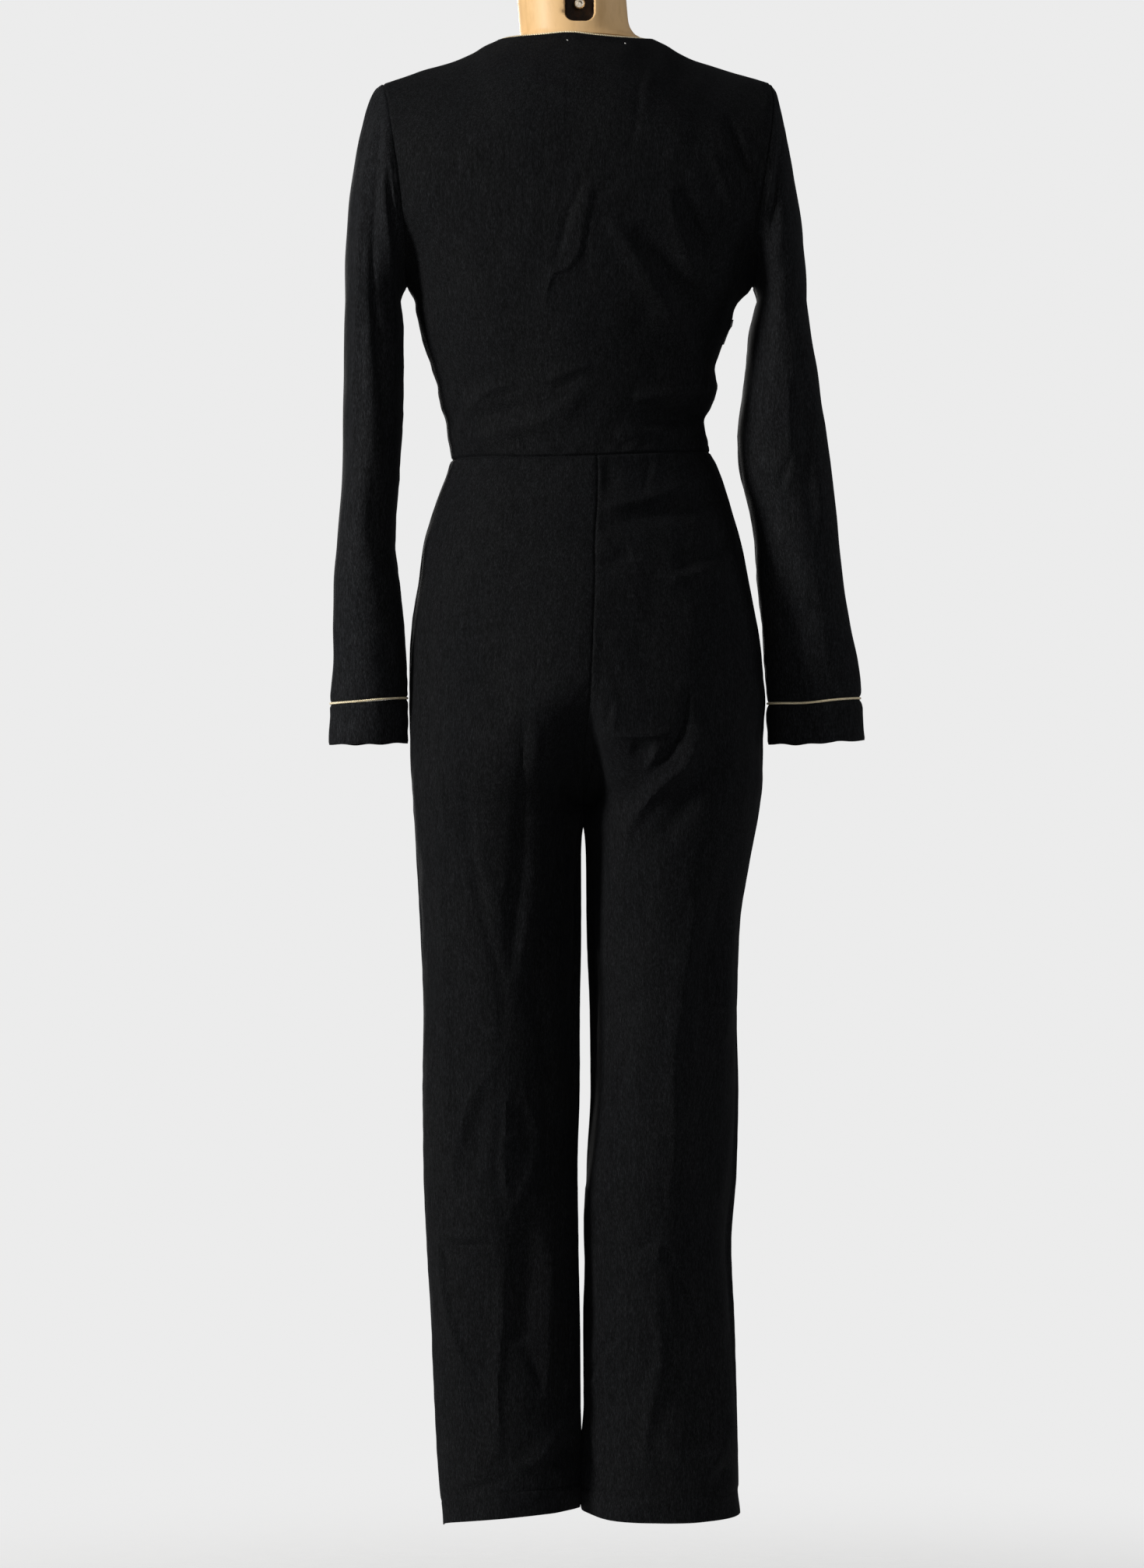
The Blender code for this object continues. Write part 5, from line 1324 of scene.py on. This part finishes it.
def twisted_cord(name, path, sideways, radius, pitch, materials):
    """A closed cord of two strands laid round each other, joined into one piece."""
    path, sideways, length = even_path(path, sideways, pitch / CORD_STEPS)
    tangent = path_run(path)
    first = square_to(tangent, sideways)
    second = np.cross(tangent, first)
    count = len(path)
    angle = 2.0 * math.pi * max(1, round(length / pitch)) * np.arange(count) / count
    turn = 2.0 * math.pi * np.arange(CORD_SIDES) / CORD_SIDES
    strand = STRAND_SHARE * radius
    row = np.arange(count)[:, None] * CORD_SIDES
    after = np.roll(row, -1)
    one = np.arange(CORD_SIDES)[None, :]
    two = (one + 1) % CORD_SIDES
    quads = np.stack([row + two, row + one, after + one, after + two], axis=-1).reshape(-1, 4)
    points = []
    faces = []
    for number in range(2):
        phase = angle + math.pi * number
        lane = np.cos(phase)[:, None] * first + np.sin(phase)[:, None] * second
        centre = path + (radius - strand) * lane
        run = path_run(centre)
        out = square_to(run, lane)
        ring = (np.cos(turn)[None, :, None] * out[:, None, :]
                + np.sin(turn)[None, :, None] * np.cross(run, out)[:, None, :])
        points.append((centre[:, None, :] + strand * ring).reshape(-1, 3))
        faces.append(quads + number * count * CORD_SIDES)
    cord = mesh_object(name, np.concatenate(points), np.concatenate(faces).tolist(),
                       materials, sharp=80.0)
    # faces turned in towards the other strand get the second, darker material: painted shade between the
    # strands
    inner = np.cos(turn + math.pi / CORD_SIDES) < CORD_PAINTED_SHADE_LIMIT
    marks = np.tile(inner.astype(np.int32), 2 * count)
    cord.data.polygons.foreach_set("material_index", marks)
    return cord


# ---- Materials ----
def node_tree(name):
    """A new material with its nodes, its shader and its object coordinates."""
    material = bpy.data.materials.new(name)
    material.use_nodes = True
    tree = material.node_tree
    shader = tree.nodes["Principled BSDF"]
    place = tree.nodes.new("ShaderNodeTexCoord")
    return material, tree, shader, place.outputs["Object"]


def feed(tree, node, inputs):
    """Set inputs of a node to plain values, or link them to the outputs that are given."""
    for socket, value in inputs.items():
        if isinstance(value, bpy.types.NodeSocket):
            tree.links.new(value, node.inputs[socket])
        else:
            node.inputs[socket].default_value = value


def add_node(tree, kind, inputs, **settings):
    """A new node with its settings and its inputs."""
    node = tree.nodes.new("ShaderNode" + kind)
    for name, value in settings.items():
        setattr(node, name, value)
    feed(tree, node, inputs)
    return node


def noise(tree, place, scale, detail, roughness):
    """A noise texture with so many waves a metre: one number, or one for each axis."""
    mapping = add_node(tree, "Mapping", {"Scale": np.broadcast_to(scale, 3), "Vector": place})
    texture = add_node(tree, "TexNoise", {
        "Scale": 1.0, "Detail": detail, "Roughness": roughness, "Vector": mapping.outputs["Vector"]})
    return texture.outputs["Fac"]


def ramp(tree, value, stops):
    """A colour ramp with the given stops."""
    node = add_node(tree, "ValToRGB", {"Fac": value})
    elements = node.color_ramp.elements
    for element, (position, colour) in zip(elements, (stops[0], stops[-1])):
        element.position = position
        element.color = (*colour, 1.0)
    for position, colour in stops[1:-1]:
        elements.new(position).color = (*colour, 1.0)
    return node.outputs["Color"]


def multiply(tree, first, second):
    """One colour multiplied by another."""
    node = add_node(tree, "Mix", {"Factor": 1.0}, data_type="RGBA", blend_type="MULTIPLY")
    feed(tree, node, {6: first, 7: second})
    return node.outputs[2]


def to_range(tree, value, low, high):
    """The value spread from low to high."""
    node = add_node(tree, "MapRange", {"To Min": low, "To Max": high, "Value": value})
    return node.outputs["Result"]


def bump(tree, height, strength, distance, under=None):
    """A bump, laid over another one where it is given."""
    node = add_node(tree, "Bump", {"Strength": strength, "Distance": distance, "Height": height})
    if under is not None:
        feed(tree, node, {"Normal": under})
    return node.outputs["Normal"]


def crepe_material(name, seed, tone):
    """Near-black crepe: a fine upright grain with slubs, soft patches and a dull sheen."""
    material, tree, shader, place = node_tree(name)
    shift = GRAIN_SHIFT * seed
    move = add_node(tree, "Mapping", {"Location": (shift, 2.0 * shift, 3.0 * shift), "Vector": place})
    place = move.outputs["Vector"]
    grain = noise(tree, place, (1500.0, 1500.0, 260.0), 3.0, 0.6)
    slub = noise(tree, place, (420.0, 420.0, 60.0), 2.0, 0.5)
    pebble = noise(tree, place, (1900.0, 1900.0, 1500.0), 2.0, 0.6)
    patch = noise(tree, place, (16.0, 16.0, 9.0), 3.0, 0.55)
    stops = ((0.28, (0.0009, 0.0010, 0.0011)), (0.50, (0.0039, 0.0041, 0.0045)),
             (0.74, (0.0115, 0.0120, 0.0132)))
    # tone scales the crepe's own shade; for sleeves and cuffs it is raised as painted light
    colour = ramp(tree, grain, [(at, [tone * part for part in parts]) for at, parts in stops])
    colour = multiply(tree, colour, ramp(tree, slub, (
        (0.28, (0.62, 0.62, 0.62)), (0.74, (1.25, 1.25, 1.26)))))
    colour = multiply(tree, colour, ramp(tree, patch, (
        (0.30, (0.86, 0.87, 0.90)), (0.70, (1.08, 1.07, 1.05)))))
    fine = bump(tree, pebble, 0.35, 0.00012)
    upright = bump(tree, grain, 0.45, 0.00016, fine)
    normal = bump(tree, slub, 0.35, 0.00022, upright)
    feed(tree, shader, {
        "Base Color": colour, "Roughness": to_range(tree, pebble, 0.72, 0.94), "Normal": normal,
        "Specular IOR Level": 0.05, "Sheen Weight": 0.012, "Sheen Roughness": 0.45,
        "Sheen Tint": (0.80, 0.84, 0.92, 1.0)})
    return material


def gold_cord_material(name, tone):
    """Pale gold yarn: fine glinting fibres; a low tone darkens it to brown as painted shade between the
    strands.
    """
    material, tree, shader, place = node_tree(name)
    fibre = noise(tree, place, 2600.0, 3.0, 0.7)
    patch = noise(tree, place, 240.0, 2.0, 0.5)
    stops = ((0.30, (0.48, 0.34, 0.16)), (0.52, (0.84, 0.74, 0.50)), (0.70, (0.98, 0.95, 0.84)))
    colour = ramp(tree, fibre, [
        (at, (red * tone, green * tone ** 1.2, blue * tone ** 1.4))
        for at, (red, green, blue) in stops])
    colour = multiply(tree, colour, ramp(tree, patch, (
        (0.30, (0.86, 0.84, 0.80)), (0.70, (1.08, 1.08, 1.08)))))
    feed(tree, shader, {
        "Base Color": colour, "Roughness": to_range(tree, fibre, 0.28, 0.62),
        "Normal": bump(tree, fibre, 0.6, 0.0002), "Metallic": 0.35, "Sheen Weight": 0.15})
    return material


def form_material():
    """Glossy tan moulding, a little warmer and cooler in places, with faint handling marks."""
    material, tree, shader, place = node_tree("form_moulding")
    tone = noise(tree, place, 14.0, 3.0, 0.5)
    marks = noise(tree, place, (90.0, 90.0, 30.0), 5.0, 0.65)
    skin = noise(tree, place, 700.0, 2.0, 0.5)
    colour = ramp(tree, tone, (
        (0.30, (0.64, 0.400, 0.180)),
        (0.50, (0.70, 0.450, 0.210)),
        (0.72, (0.76, 0.505, 0.250)),
    ))
    colour = multiply(tree, colour, ramp(tree, marks, (
        (0.34, (0.90, 0.88, 0.85)), (0.50, (1.0, 1.0, 1.0)))))
    feed(tree, shader, {
        "Base Color": colour, "Roughness": to_range(tree, marks, 0.38, 0.56),
        "Normal": bump(tree, skin, 0.05, 0.0002),
        "Specular IOR Level": 0.20, "Coat Weight": 0.04, "Coat Roughness": 0.30})
    return material


def slot_shade_material():
    """The raw inside of the moulding in the nape slot, darkened to near black as painted shade of the
    recess.
    """
    material, tree, shader, place = node_tree("form_slot_painted_shade")
    raw = noise(tree, place, 160.0, 4.0, 0.6)
    colour = ramp(tree, raw, ((0.30, (0.010, 0.006, 0.004)), (0.72, (0.045, 0.024, 0.013))))
    feed(tree, shader, {
        "Base Color": colour, "Roughness": to_range(tree, raw, 0.55, 0.85),
        "Normal": bump(tree, raw, 0.4, 0.0008), "Specular IOR Level": 0.2})
    return material


def metal_material(name, dark, light, low, high, bare):
    """Metal, bare or lacquered, with fine brushing and small spots."""
    material, tree, shader, place = node_tree(name)
    brush = noise(tree, place, (2200.0, 2200.0, 240.0), 3.0, 0.6)
    spots = noise(tree, place, 420.0, 3.0, 0.6)
    colour = ramp(tree, spots, ((0.32, dark), (0.62, light)))
    feed(tree, shader, {
        "Base Color": colour, "Roughness": to_range(tree, brush, low, high),
        "Normal": bump(tree, brush, 0.12, 0.0001), "Metallic": bare})
    return material


def thread_material(name, dark, light):
    """Spun sewing thread."""
    material, tree, shader, place = node_tree(name)
    fibre = noise(tree, place, 3200.0, 2.0, 0.6)
    colour = ramp(tree, fibre, ((0.30, dark), (0.70, light)))
    feed(tree, shader, {
        "Base Color": colour, "Roughness": to_range(tree, fibre, 0.5, 0.8),
        "Normal": bump(tree, fibre, 0.4, 0.0001), "Specular IOR Level": 0.25})
    return material


# ---- Cloth pieces ----
def dress(piece, slot, *nodes):
    """Put a piece on the body and hide the solids it stands for; its material slot is not used."""
    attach(piece, "root")
    if nodes:
        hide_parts(*nodes)


def make_bodice(name, facing, creases, seed):
    """The bodice back or front, with a slight swell of its right side over the zip slider."""
    grid = bodice_grid(facing)
    normals = grid_normals(grid, False, "bodice")
    last = grid.shape[1] - 1
    shoulder = np.abs(bodice_columns(facing)) > neck_share() - TINY
    side = np.minimum(run_from(grid, 1), run_from(grid, 1, from_end=True))
    waist = grid[..., 2] - WAIST
    top = run_from(grid, 0, from_end=True)
    relief = crease_relief(grid[..., 0], grid[..., 2], creases, seen=facing > 0)
    relief = relief + drape(grid, seed)
    relief *= seam_fade(side) * seam_fade(waist) * seam_fade(top)
    relief += seam_relief(side, grid, 11) + seam_relief(waist, grid, 12, waist_groove(side))
    relief += seam_relief(top, grid, 13, TOP_SEAM)
    relief -= BODY_EASE * bell(top, NECK_ROLL)
    flatten(normals, (0,), 2)
    under = int(np.sum(grid[:, 0, 2] < UNDERARM - TINY))
    for column in (0, last):
        flatten(normals, (slice(0, under), column), 1)
        flatten(normals, (slice(under, None), column), 0)
    flatten(normals, (-1, shoulder), 1)
    outer = nape_warp(waist_warp(grid + normals * relief[..., None]))
    swell = np.exp(-((grid[..., 2] - SWELL_HEIGHT) / SWELL_TALL) ** 2 - (side / SWELL_WIDE) ** 2)
    outer[..., 0] -= SWELL_RISE * swell * (grid[..., 0] < 0.0)
    return cloth_shell(name, outer, normals, False, seed)


def hollow_relief(grid, inner):
    """The deep hollow beside the centre seam, let out before it comes to the inseam."""
    height = grid[..., 2]
    x = grid[..., 0] - HOLLOW_X
    across = bell(x, np.where(x > 0.0, HOLLOW_LEFT, HOLLOW_RIGHT))
    start = smooth_share((HOLLOW_TOP - height) / (HOLLOW_TOP - HOLLOW_FULL))
    end = smooth_share((height - HOLLOW_END) / HOLLOW_FADE)
    low = smooth_share((CROTCH + HOLLOW_LET_OUT - height) / HOLLOW_FADE)
    edge = 1.0 - low * bell(inner, HOLLOW_REACH)
    return -HOLLOW_DEPTH * across * start * end * edge


def make_leg_panel(name, side, facing, creases, seed):
    """One of the four trouser panels."""
    grid, below = leg_grid(side, facing)
    normals = grid_normals(grid, False, "leg", SIDE_SIGN[side])
    crotch = int(np.sum(below))
    inner = run_from(grid, 1)
    outer_side = run_from(grid, 1, from_end=True)
    waist = WAIST - grid[..., 2]
    hem = run_from(grid, 0)
    relief = crease_relief(grid[..., 0], grid[..., 2], creases, seen=facing > 0)
    relief = relief + drape(grid, seed)
    relief *= seam_fade(inner) * seam_fade(outer_side) * seam_fade(waist)
    if facing > 0.0:
        relief += hollow_relief(grid, inner)
    level = grid[..., 2]
    inseam = np.clip((CROTCH + INSEAM_TOP - level) / INSEAM_FADE, 0.0, 1.0)
    relief += seam_relief(inner, grid, 21, 1.0 - INSEAM_EASE * inseam)
    relief += seam_relief(outer_side, grid, 22, LEG_SIDE_SEAM)
    relief += seam_relief(waist, grid, 23, waist_groove(outer_side))
    turn_up = 0.5 - 0.5 * np.tanh((hem - HEM_DEPTH) / HEM_EDGE)
    relief += HEM_RISE * turn_up
    relief -= HEM_GROOVE * bell(hem - HEM_DEPTH - HEM_GROOVE_DROP, HEM_GROOVE_WIDTH)
    relief += HEM_WAVE * turn_up * soft_noise(grid, HEM_WAVE_SIZE, 24)
    flatten(normals, (-1,), 2)
    flatten(normals, (slice(None), -1), 1)
    flatten(normals, (slice(0, crotch + 1), 0), 1)
    flatten(normals, (slice(crotch + 1, None), 0), 0)
    outer = waist_warp(grid + normals * relief[..., None])
    lean = inner_closing(level, side) * bell(inner, CLOSE_ACROSS)
    outer[..., 0] -= SIDE_SIGN[side] * lean
    return cloth_shell(name, outer, normals, False, seed)


def make_sleeve(name, side, seed):
    """A sleeve, eased into its armhole, with its folds down the back and front."""
    grid = sleeve_grid(side)
    normals = grid_normals(grid, True, "sleeve", SIDE_SIGN[side])
    back = 0.5 + 0.5 * np.tanh(grid[..., 1] / SLEEVE_BLEND)
    x = grid[..., 0]
    height = grid[..., 2]
    relief = (back * crease_relief(x, height, SLEEVE_BACK_CREASES[side], seen=True)
              + (1.0 - back) * crease_relief(x, height, SLEEVE_FRONT_CREASES[side]))
    relief += SLEEVE_DRAPE * drape(grid, seed)
    head = run_from(grid, 0)
    run, whole = round_run(grid)
    tip = np.abs(run[0] - run[0, grid.shape[1] // 2])
    drift = GATHER_DRIFT * soft_noise(grid, GATHER_DRIFT_SIZE, seed)
    gather = GATHER_RISE * np.cos(2.0 * math.pi * (tip / GATHER_PITCH + drift))
    relief += (gather * bell(tip, GATHER_REACH) * bell(head, GATHER_LENGTH, 1.5)
               * (1.0 - bell(head, GATHER_START)))
    cuff = run_from(grid, 0, from_end=True)
    seam = np.minimum(run, whole - run)
    relief *= seam_fade(head) * seam_fade(cuff) * seam_fade(seam)
    relief += seam_relief(head, grid, 31) + seam_relief(cuff, grid, 32)
    relief += seam_relief(seam, grid, 33)
    flatten(normals, (0,), 0)
    flatten(normals, (-1,), 2)
    outer = cuff_warp(grid + normals * relief[..., None], side)
    return cloth_shell(name, outer, normals, True, seed, SLEEVE_PAINTED_LIGHT[side])


def make_cuff(name, side, seed):
    """A cuff band: two layers turned at the lower edge, slightly wavy."""
    grid = cuff_grid(side)
    normals = grid_normals(grid, True, "cuff", SIDE_SIGN[side])
    top = run_from(grid, 0)
    edge = run_from(grid, 0, from_end=True)
    run, whole = round_run(grid)
    seam = np.minimum(run, whole - run)
    relief = CUFF_WAVE * soft_noise(grid, CUFF_WAVE_SIZE, seed) * seam_fade(top)
    relief += seam_relief(top, grid, 41) + seam_relief(seam, grid, 42)
    relief -= CUFF_EDGE_SINK * bell(edge, CUFF_EDGE_REACH)
    flatten(normals, (slice(None),), 2)
    outer = cuff_warp(grid + normals * relief[..., None], side)
    return cloth_shell(name, outer, normals, True, seed, SLEEVE_PAINTED_LIGHT[side])


def make_tack(name, sheet, place, material):
    """A short stitch of pale thread lying on the cloth."""
    count = len(sheet.data.vertices)
    points = np.empty(3 * count, dtype=np.float32)
    sheet.data.vertices.foreach_get("co", points)
    points = points.reshape(-1, 3).astype(float) + np.array([0.0, 0.0, HOOK_HEIGHT])
    away = np.hypot(points[:, 0] - place[0], points[:, 2] - place[1])
    near = points[away < TACK_NEAR]
    depth = near[:, 1].max() + TACK_PROUD * TACK_RADIUS
    along = np.linspace(-1.0, 1.0, TACK_STEPS)
    path = np.stack([place[0] + 0.5 * TACK_LENGTH * along,
                     depth - TACK_RADIUS * along ** 4,
                     place[1] + TACK_SLANT * TACK_LENGTH * along], axis=-1)
    share = np.sqrt(np.clip(TACK_ROUND - along ** 2, 0.0, 1.0))
    turn = 2.0 * math.pi * np.arange(TACK_SIDES) / TACK_SIDES
    ring = np.stack([np.zeros(TACK_SIDES), np.cos(turn), np.sin(turn)], axis=-1)
    rings = path[:, None, :] + TACK_RADIUS * share[:, None, None] * ring
    faces = tube_faces(TACK_STEPS, TACK_SIDES)
    return mesh_object(name, rings.reshape(-1, 3), faces, [material], sharp=60.0)


def make_neck_piping(materials):
    """The twisted cord on the neck edge, round the nape and down the V."""
    back, back_normals = neck_edge(1.0)
    front, front_normals = neck_edge(-1.0)
    path = np.concatenate([back, front[-2:0:-1]])
    normals = np.concatenate([back_normals, front_normals[-2:0:-1]])
    upward = unit(np.cross(normals, path_run(path)))
    if np.mean(upward[:, 2]) < 0.0:
        upward = -upward
    path = nape_warp(path + upward * NECK_CORD_RISE - normals * NECK_CORD_SINK)
    return twisted_cord("piping_neck_cord", path, upward, PIPING_RADIUS, CORD_PITCH, materials)


def make_cuff_piping(side, materials):
    """The twisted cord between a sleeve and its cuff."""
    ring = sleeve_ring(side, 0.5 * (SLEEVE_END + CUFF_TOP))
    outward = unit(ring - ring.mean(axis=0))
    path = cuff_warp(ring - outward * CUFF_PIPING_SINK * CLOTH, side)
    return twisted_cord("piping_cuff_" + side + "_cord", path, outward, CUFF_PIPING_RADIUS,
                        CUFF_CORD_PITCH, materials)


# ---- Torso form ----
def slot_depth_share(x, height):
    """1 inside the upright slot at the nape, 0 outside it, rounded over its lip."""
    reach_x = np.abs(x - SLOT_CENTRE_X) - (SLOT_HALF_WIDTH - SLOT_CORNER)
    reach_h = (SLOT_BOTTOM + SLOT_CORNER) - height
    outside = np.hypot(np.maximum(reach_x, 0.0), np.maximum(reach_h, 0.0))
    inside = np.minimum(np.maximum(reach_x, reach_h), 0.0)
    distance = outside + inside - SLOT_CORNER
    return smooth_share(0.5 - distance / (2.0 * SLOT_LIP))


def form_places():
    """Places across the form from -1 to 1, closer together at the slot's two sides."""
    even = list(np.linspace(-1.0, 1.0, FORM_COLUMNS + 1))
    middle = SLOT_CENTRE_X - float(BODICE["lean"](SLOT_MIDDLE))
    inner = SLOT_INNER * SLOT_HALF_WIDTH
    places = list(np.linspace(-inner, inner, SLOT_COLUMNS))
    lip = SLOT_LIP_REACH * SLOT_LIP
    for edge in (-SLOT_HALF_WIDTH, SLOT_HALF_WIDTH):
        places += list(edge + np.linspace(-lip, lip, SLOT_LIP_COLUMNS))
    for place in places:
        even.append(2.0 / math.pi * math.asin((middle + place) / NECK_HALF_WIDTH))
    return np.array(sorted(even))


def make_form(material, slot_shade):
    """The smooth torso with the slot at its nape."""
    levels = np.concatenate([np.linspace(start, end, rows, endpoint=False)
                             for start, end, rows in FORM_SPANS])
    levels = np.append(levels, NECK_TOP - FORM_TOP_ROUND)
    rings = [form_ring(height) for height in levels]
    low = []
    middle = rings[0].mean(axis=0)
    for share, drop in FORM_LOW_EDGE:
        ring = middle + (rings[0] - middle) * share
        ring[:, 2] = levels[0] - drop
        low.append(ring)
    top = []
    middle = rings[-1].mean(axis=0)
    for step in range(1, FORM_TOP_STEPS + 1):
        turn = 0.5 * math.pi * step / FORM_TOP_STEPS
        share = 1.0 - FORM_TOP_ROUND * (1.0 - math.cos(turn)) / NECK_HALF_WIDTH
        ring = middle + (rings[-1] - middle) * share
        ring[:, 2] = levels[-1] + FORM_TOP_ROUND * math.sin(turn)
        top.append(ring)
    points = np.array(low + rings + top)
    share = slot_depth_share(points[..., 0], points[..., 2]) * (points[..., 1] > SLOT_FLOOR_Y)
    points[..., 1] += (SLOT_FLOOR_Y - points[..., 1]) * share
    faces = tube_faces(*points.shape[:2])
    # faces deep in the slot take the near-black material: painted shade in the recess
    dark = share.reshape(-1)[np.array(faces[:-2])].mean(axis=1) > SLOT_SHADE_SHARE
    form = mesh_object("form_shell", points.reshape(-1, 3), faces, [material, slot_shade], sharp=60.0)
    marks = np.concatenate([dark, [False, False]]).astype(np.int32)
    form.data.polygons.foreach_set("material_index", marks)
    return form


# ---- Stage ----
def look_at(item, target):
    """Turn a light towards a point."""
    away = np.array(item.location) - np.array(target)
    flat = math.hypot(away[0], away[1])
    item.rotation_euler = (math.atan2(flat, away[2]), 0.0, math.atan2(away[0], -away[1]))


def make_light(name, place, size, power, colour):
    """A soft rectangular light turned towards the garment."""
    data = bpy.data.lights.new(name, "AREA")
    data.shape = "RECTANGLE"
    data.size, data.size_y = size
    data.energy = power
    data.color = colour
    item = bpy.data.objects.new(name, data)
    bpy.context.scene.collection.objects.link(item)
    item.location = place
    look_at(item, LIGHT_TARGET)


def make_floor():
    """A plain pale floor that fades out into the pale surroundings."""
    turns = [2.0 * math.pi * k / FLOOR_SIDES for k in range(FLOOR_SIDES)]
    points = [(FLOOR_RADIUS * math.cos(turn), FLOOR_RADIUS * math.sin(turn), FLOOR_HEIGHT)
              for turn in turns]
    material, tree, shader, place = node_tree("pale_floor")
    speckle = noise(tree, place, 30.0, 4.0, 0.6)
    colour = ramp(tree, speckle, ((0.30, (0.60, 0.60, 0.60)), (0.70, (0.64, 0.64, 0.64))))
    feed(tree, shader, {"Base Color": colour, "Roughness": 0.9, "Specular IOR Level": 0.1})
    flat = add_node(tree, "VectorMath", {0: place, 1: (1.0, 1.0, 0.0)}, operation="MULTIPLY")
    far = add_node(tree, "VectorMath", {0: flat.outputs["Vector"]}, operation="LENGTH")
    near, end = FLOOR_FADE
    fade = add_node(tree, "MapRange", {"From Min": near, "From Max": end, "Value": far.outputs["Value"]},
                    interpolation_type="SMOOTHSTEP")
    clear = add_node(tree, "BsdfTransparent", {})
    mix = add_node(tree, "MixShader", {
        "Fac": fade.outputs["Result"], 1: shader.outputs["BSDF"], 2: clear.outputs["BSDF"]})
    feed(tree, tree.nodes["Material Output"], {"Surface": mix.outputs["Shader"]})
    mesh_object("floor", points, [list(range(FLOOR_SIDES))], [material])


def make_world():
    """Pale surroundings, and the softer light that they give."""
    world = bpy.data.worlds.new("surroundings")
    bpy.context.scene.world = world
    world.use_nodes = True
    tree = world.node_tree
    tree.nodes.clear()
    rays = add_node(tree, "LightPath", {})
    seen = add_node(tree, "Background", {"Color": (*SURROUNDINGS, 1.0)})
    given = add_node(tree, "Background", {"Color": (1.0, 1.0, 1.0, 1.0), "Strength": AMBIENT})
    mix = add_node(tree, "MixShader", {
        "Fac": rays.outputs["Is Camera Ray"],
        1: given.outputs["Background"], 2: seen.outputs["Background"]})
    add_node(tree, "OutputWorld", {"Surface": mix.outputs["Shader"]})


def make_camera():
    """The camera, level, behind the garment."""
    data = bpy.data.cameras.new("camera")
    data.sensor_width = CAMERA_SENSOR
    data.lens = CAMERA_LENS
    camera = bpy.data.objects.new("camera", data)
    bpy.context.scene.collection.objects.link(camera)
    camera.location = (CAMERA_X, CAMERA_DISTANCE, CAMERA_HEIGHT - HOOK_HEIGHT)
    camera.rotation_euler = (0.5 * math.pi, 0.0, math.pi)
    bpy.context.scene.camera = camera


def build():
    """The whole scene."""
    bpy.context.scene.view_settings.view_transform = "Standard"
    make_camera()
    make_world()
    make_floor()
    for light in LIGHTS:
        make_light(*light)

    sheets = {}
    for name, facing, creases, seed in (("bodice_back", 1.0, BODICE_BACK_CREASES, 3),
                                        ("bodice_front", -1.0, BODICE_FRONT_CREASES, 4)):
        sheets[name] = make_bodice(name + "_cloth", facing, creases, seed)
    seed = 5
    for side in ("left", "right"):
        for face_name, facing, creases in (("back", 1.0, TROUSER_BACK_CREASES),
                                           ("front", -1.0, TROUSER_FRONT_CREASES)):
            name = "trouser_" + face_name + "_" + side
            sheets[name] = make_leg_panel(name + "_cloth", side, facing, creases, seed)
            seed += 1
        sheets["sleeve_" + side] = make_sleeve("sleeve_" + side + "_cloth", side, seed)
        sheets["cuff_" + side] = make_cuff("cuff_" + side + "_cloth", side, seed + 1)
        seed += 2
    for name, piece in sheets.items():
        dress(piece, "crepe", name)

    # the yarn, then its darkened copy that paints the shade between strands
    gold = [gold_cord_material(name, tone) for name, tone in CORD_TONES_WITH_PAINTED_SHADE.items()]
    dress(make_neck_piping(gold), "gold_cord", "piping_neck")
    for side in ("left", "right"):
        dress(make_cuff_piping(side, gold), "gold_cord", "piping_cuff_" + side)

    thread = thread_material("white_thread", (0.55, 0.55, 0.53), (0.85, 0.85, 0.82))
    for number, place in enumerate(TACKS):
        dress(make_tack("tack_" + str(number), sheets["bodice_back"], place, thread), "crepe")

    form = make_form(form_material(), slot_shade_material())
    dress(form, "form_shell", "form_torso")
    for node, *looks in METALS:
        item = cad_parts[node]
        item.data.materials.clear()
        item.data.materials.append(metal_material(*looks))


build()
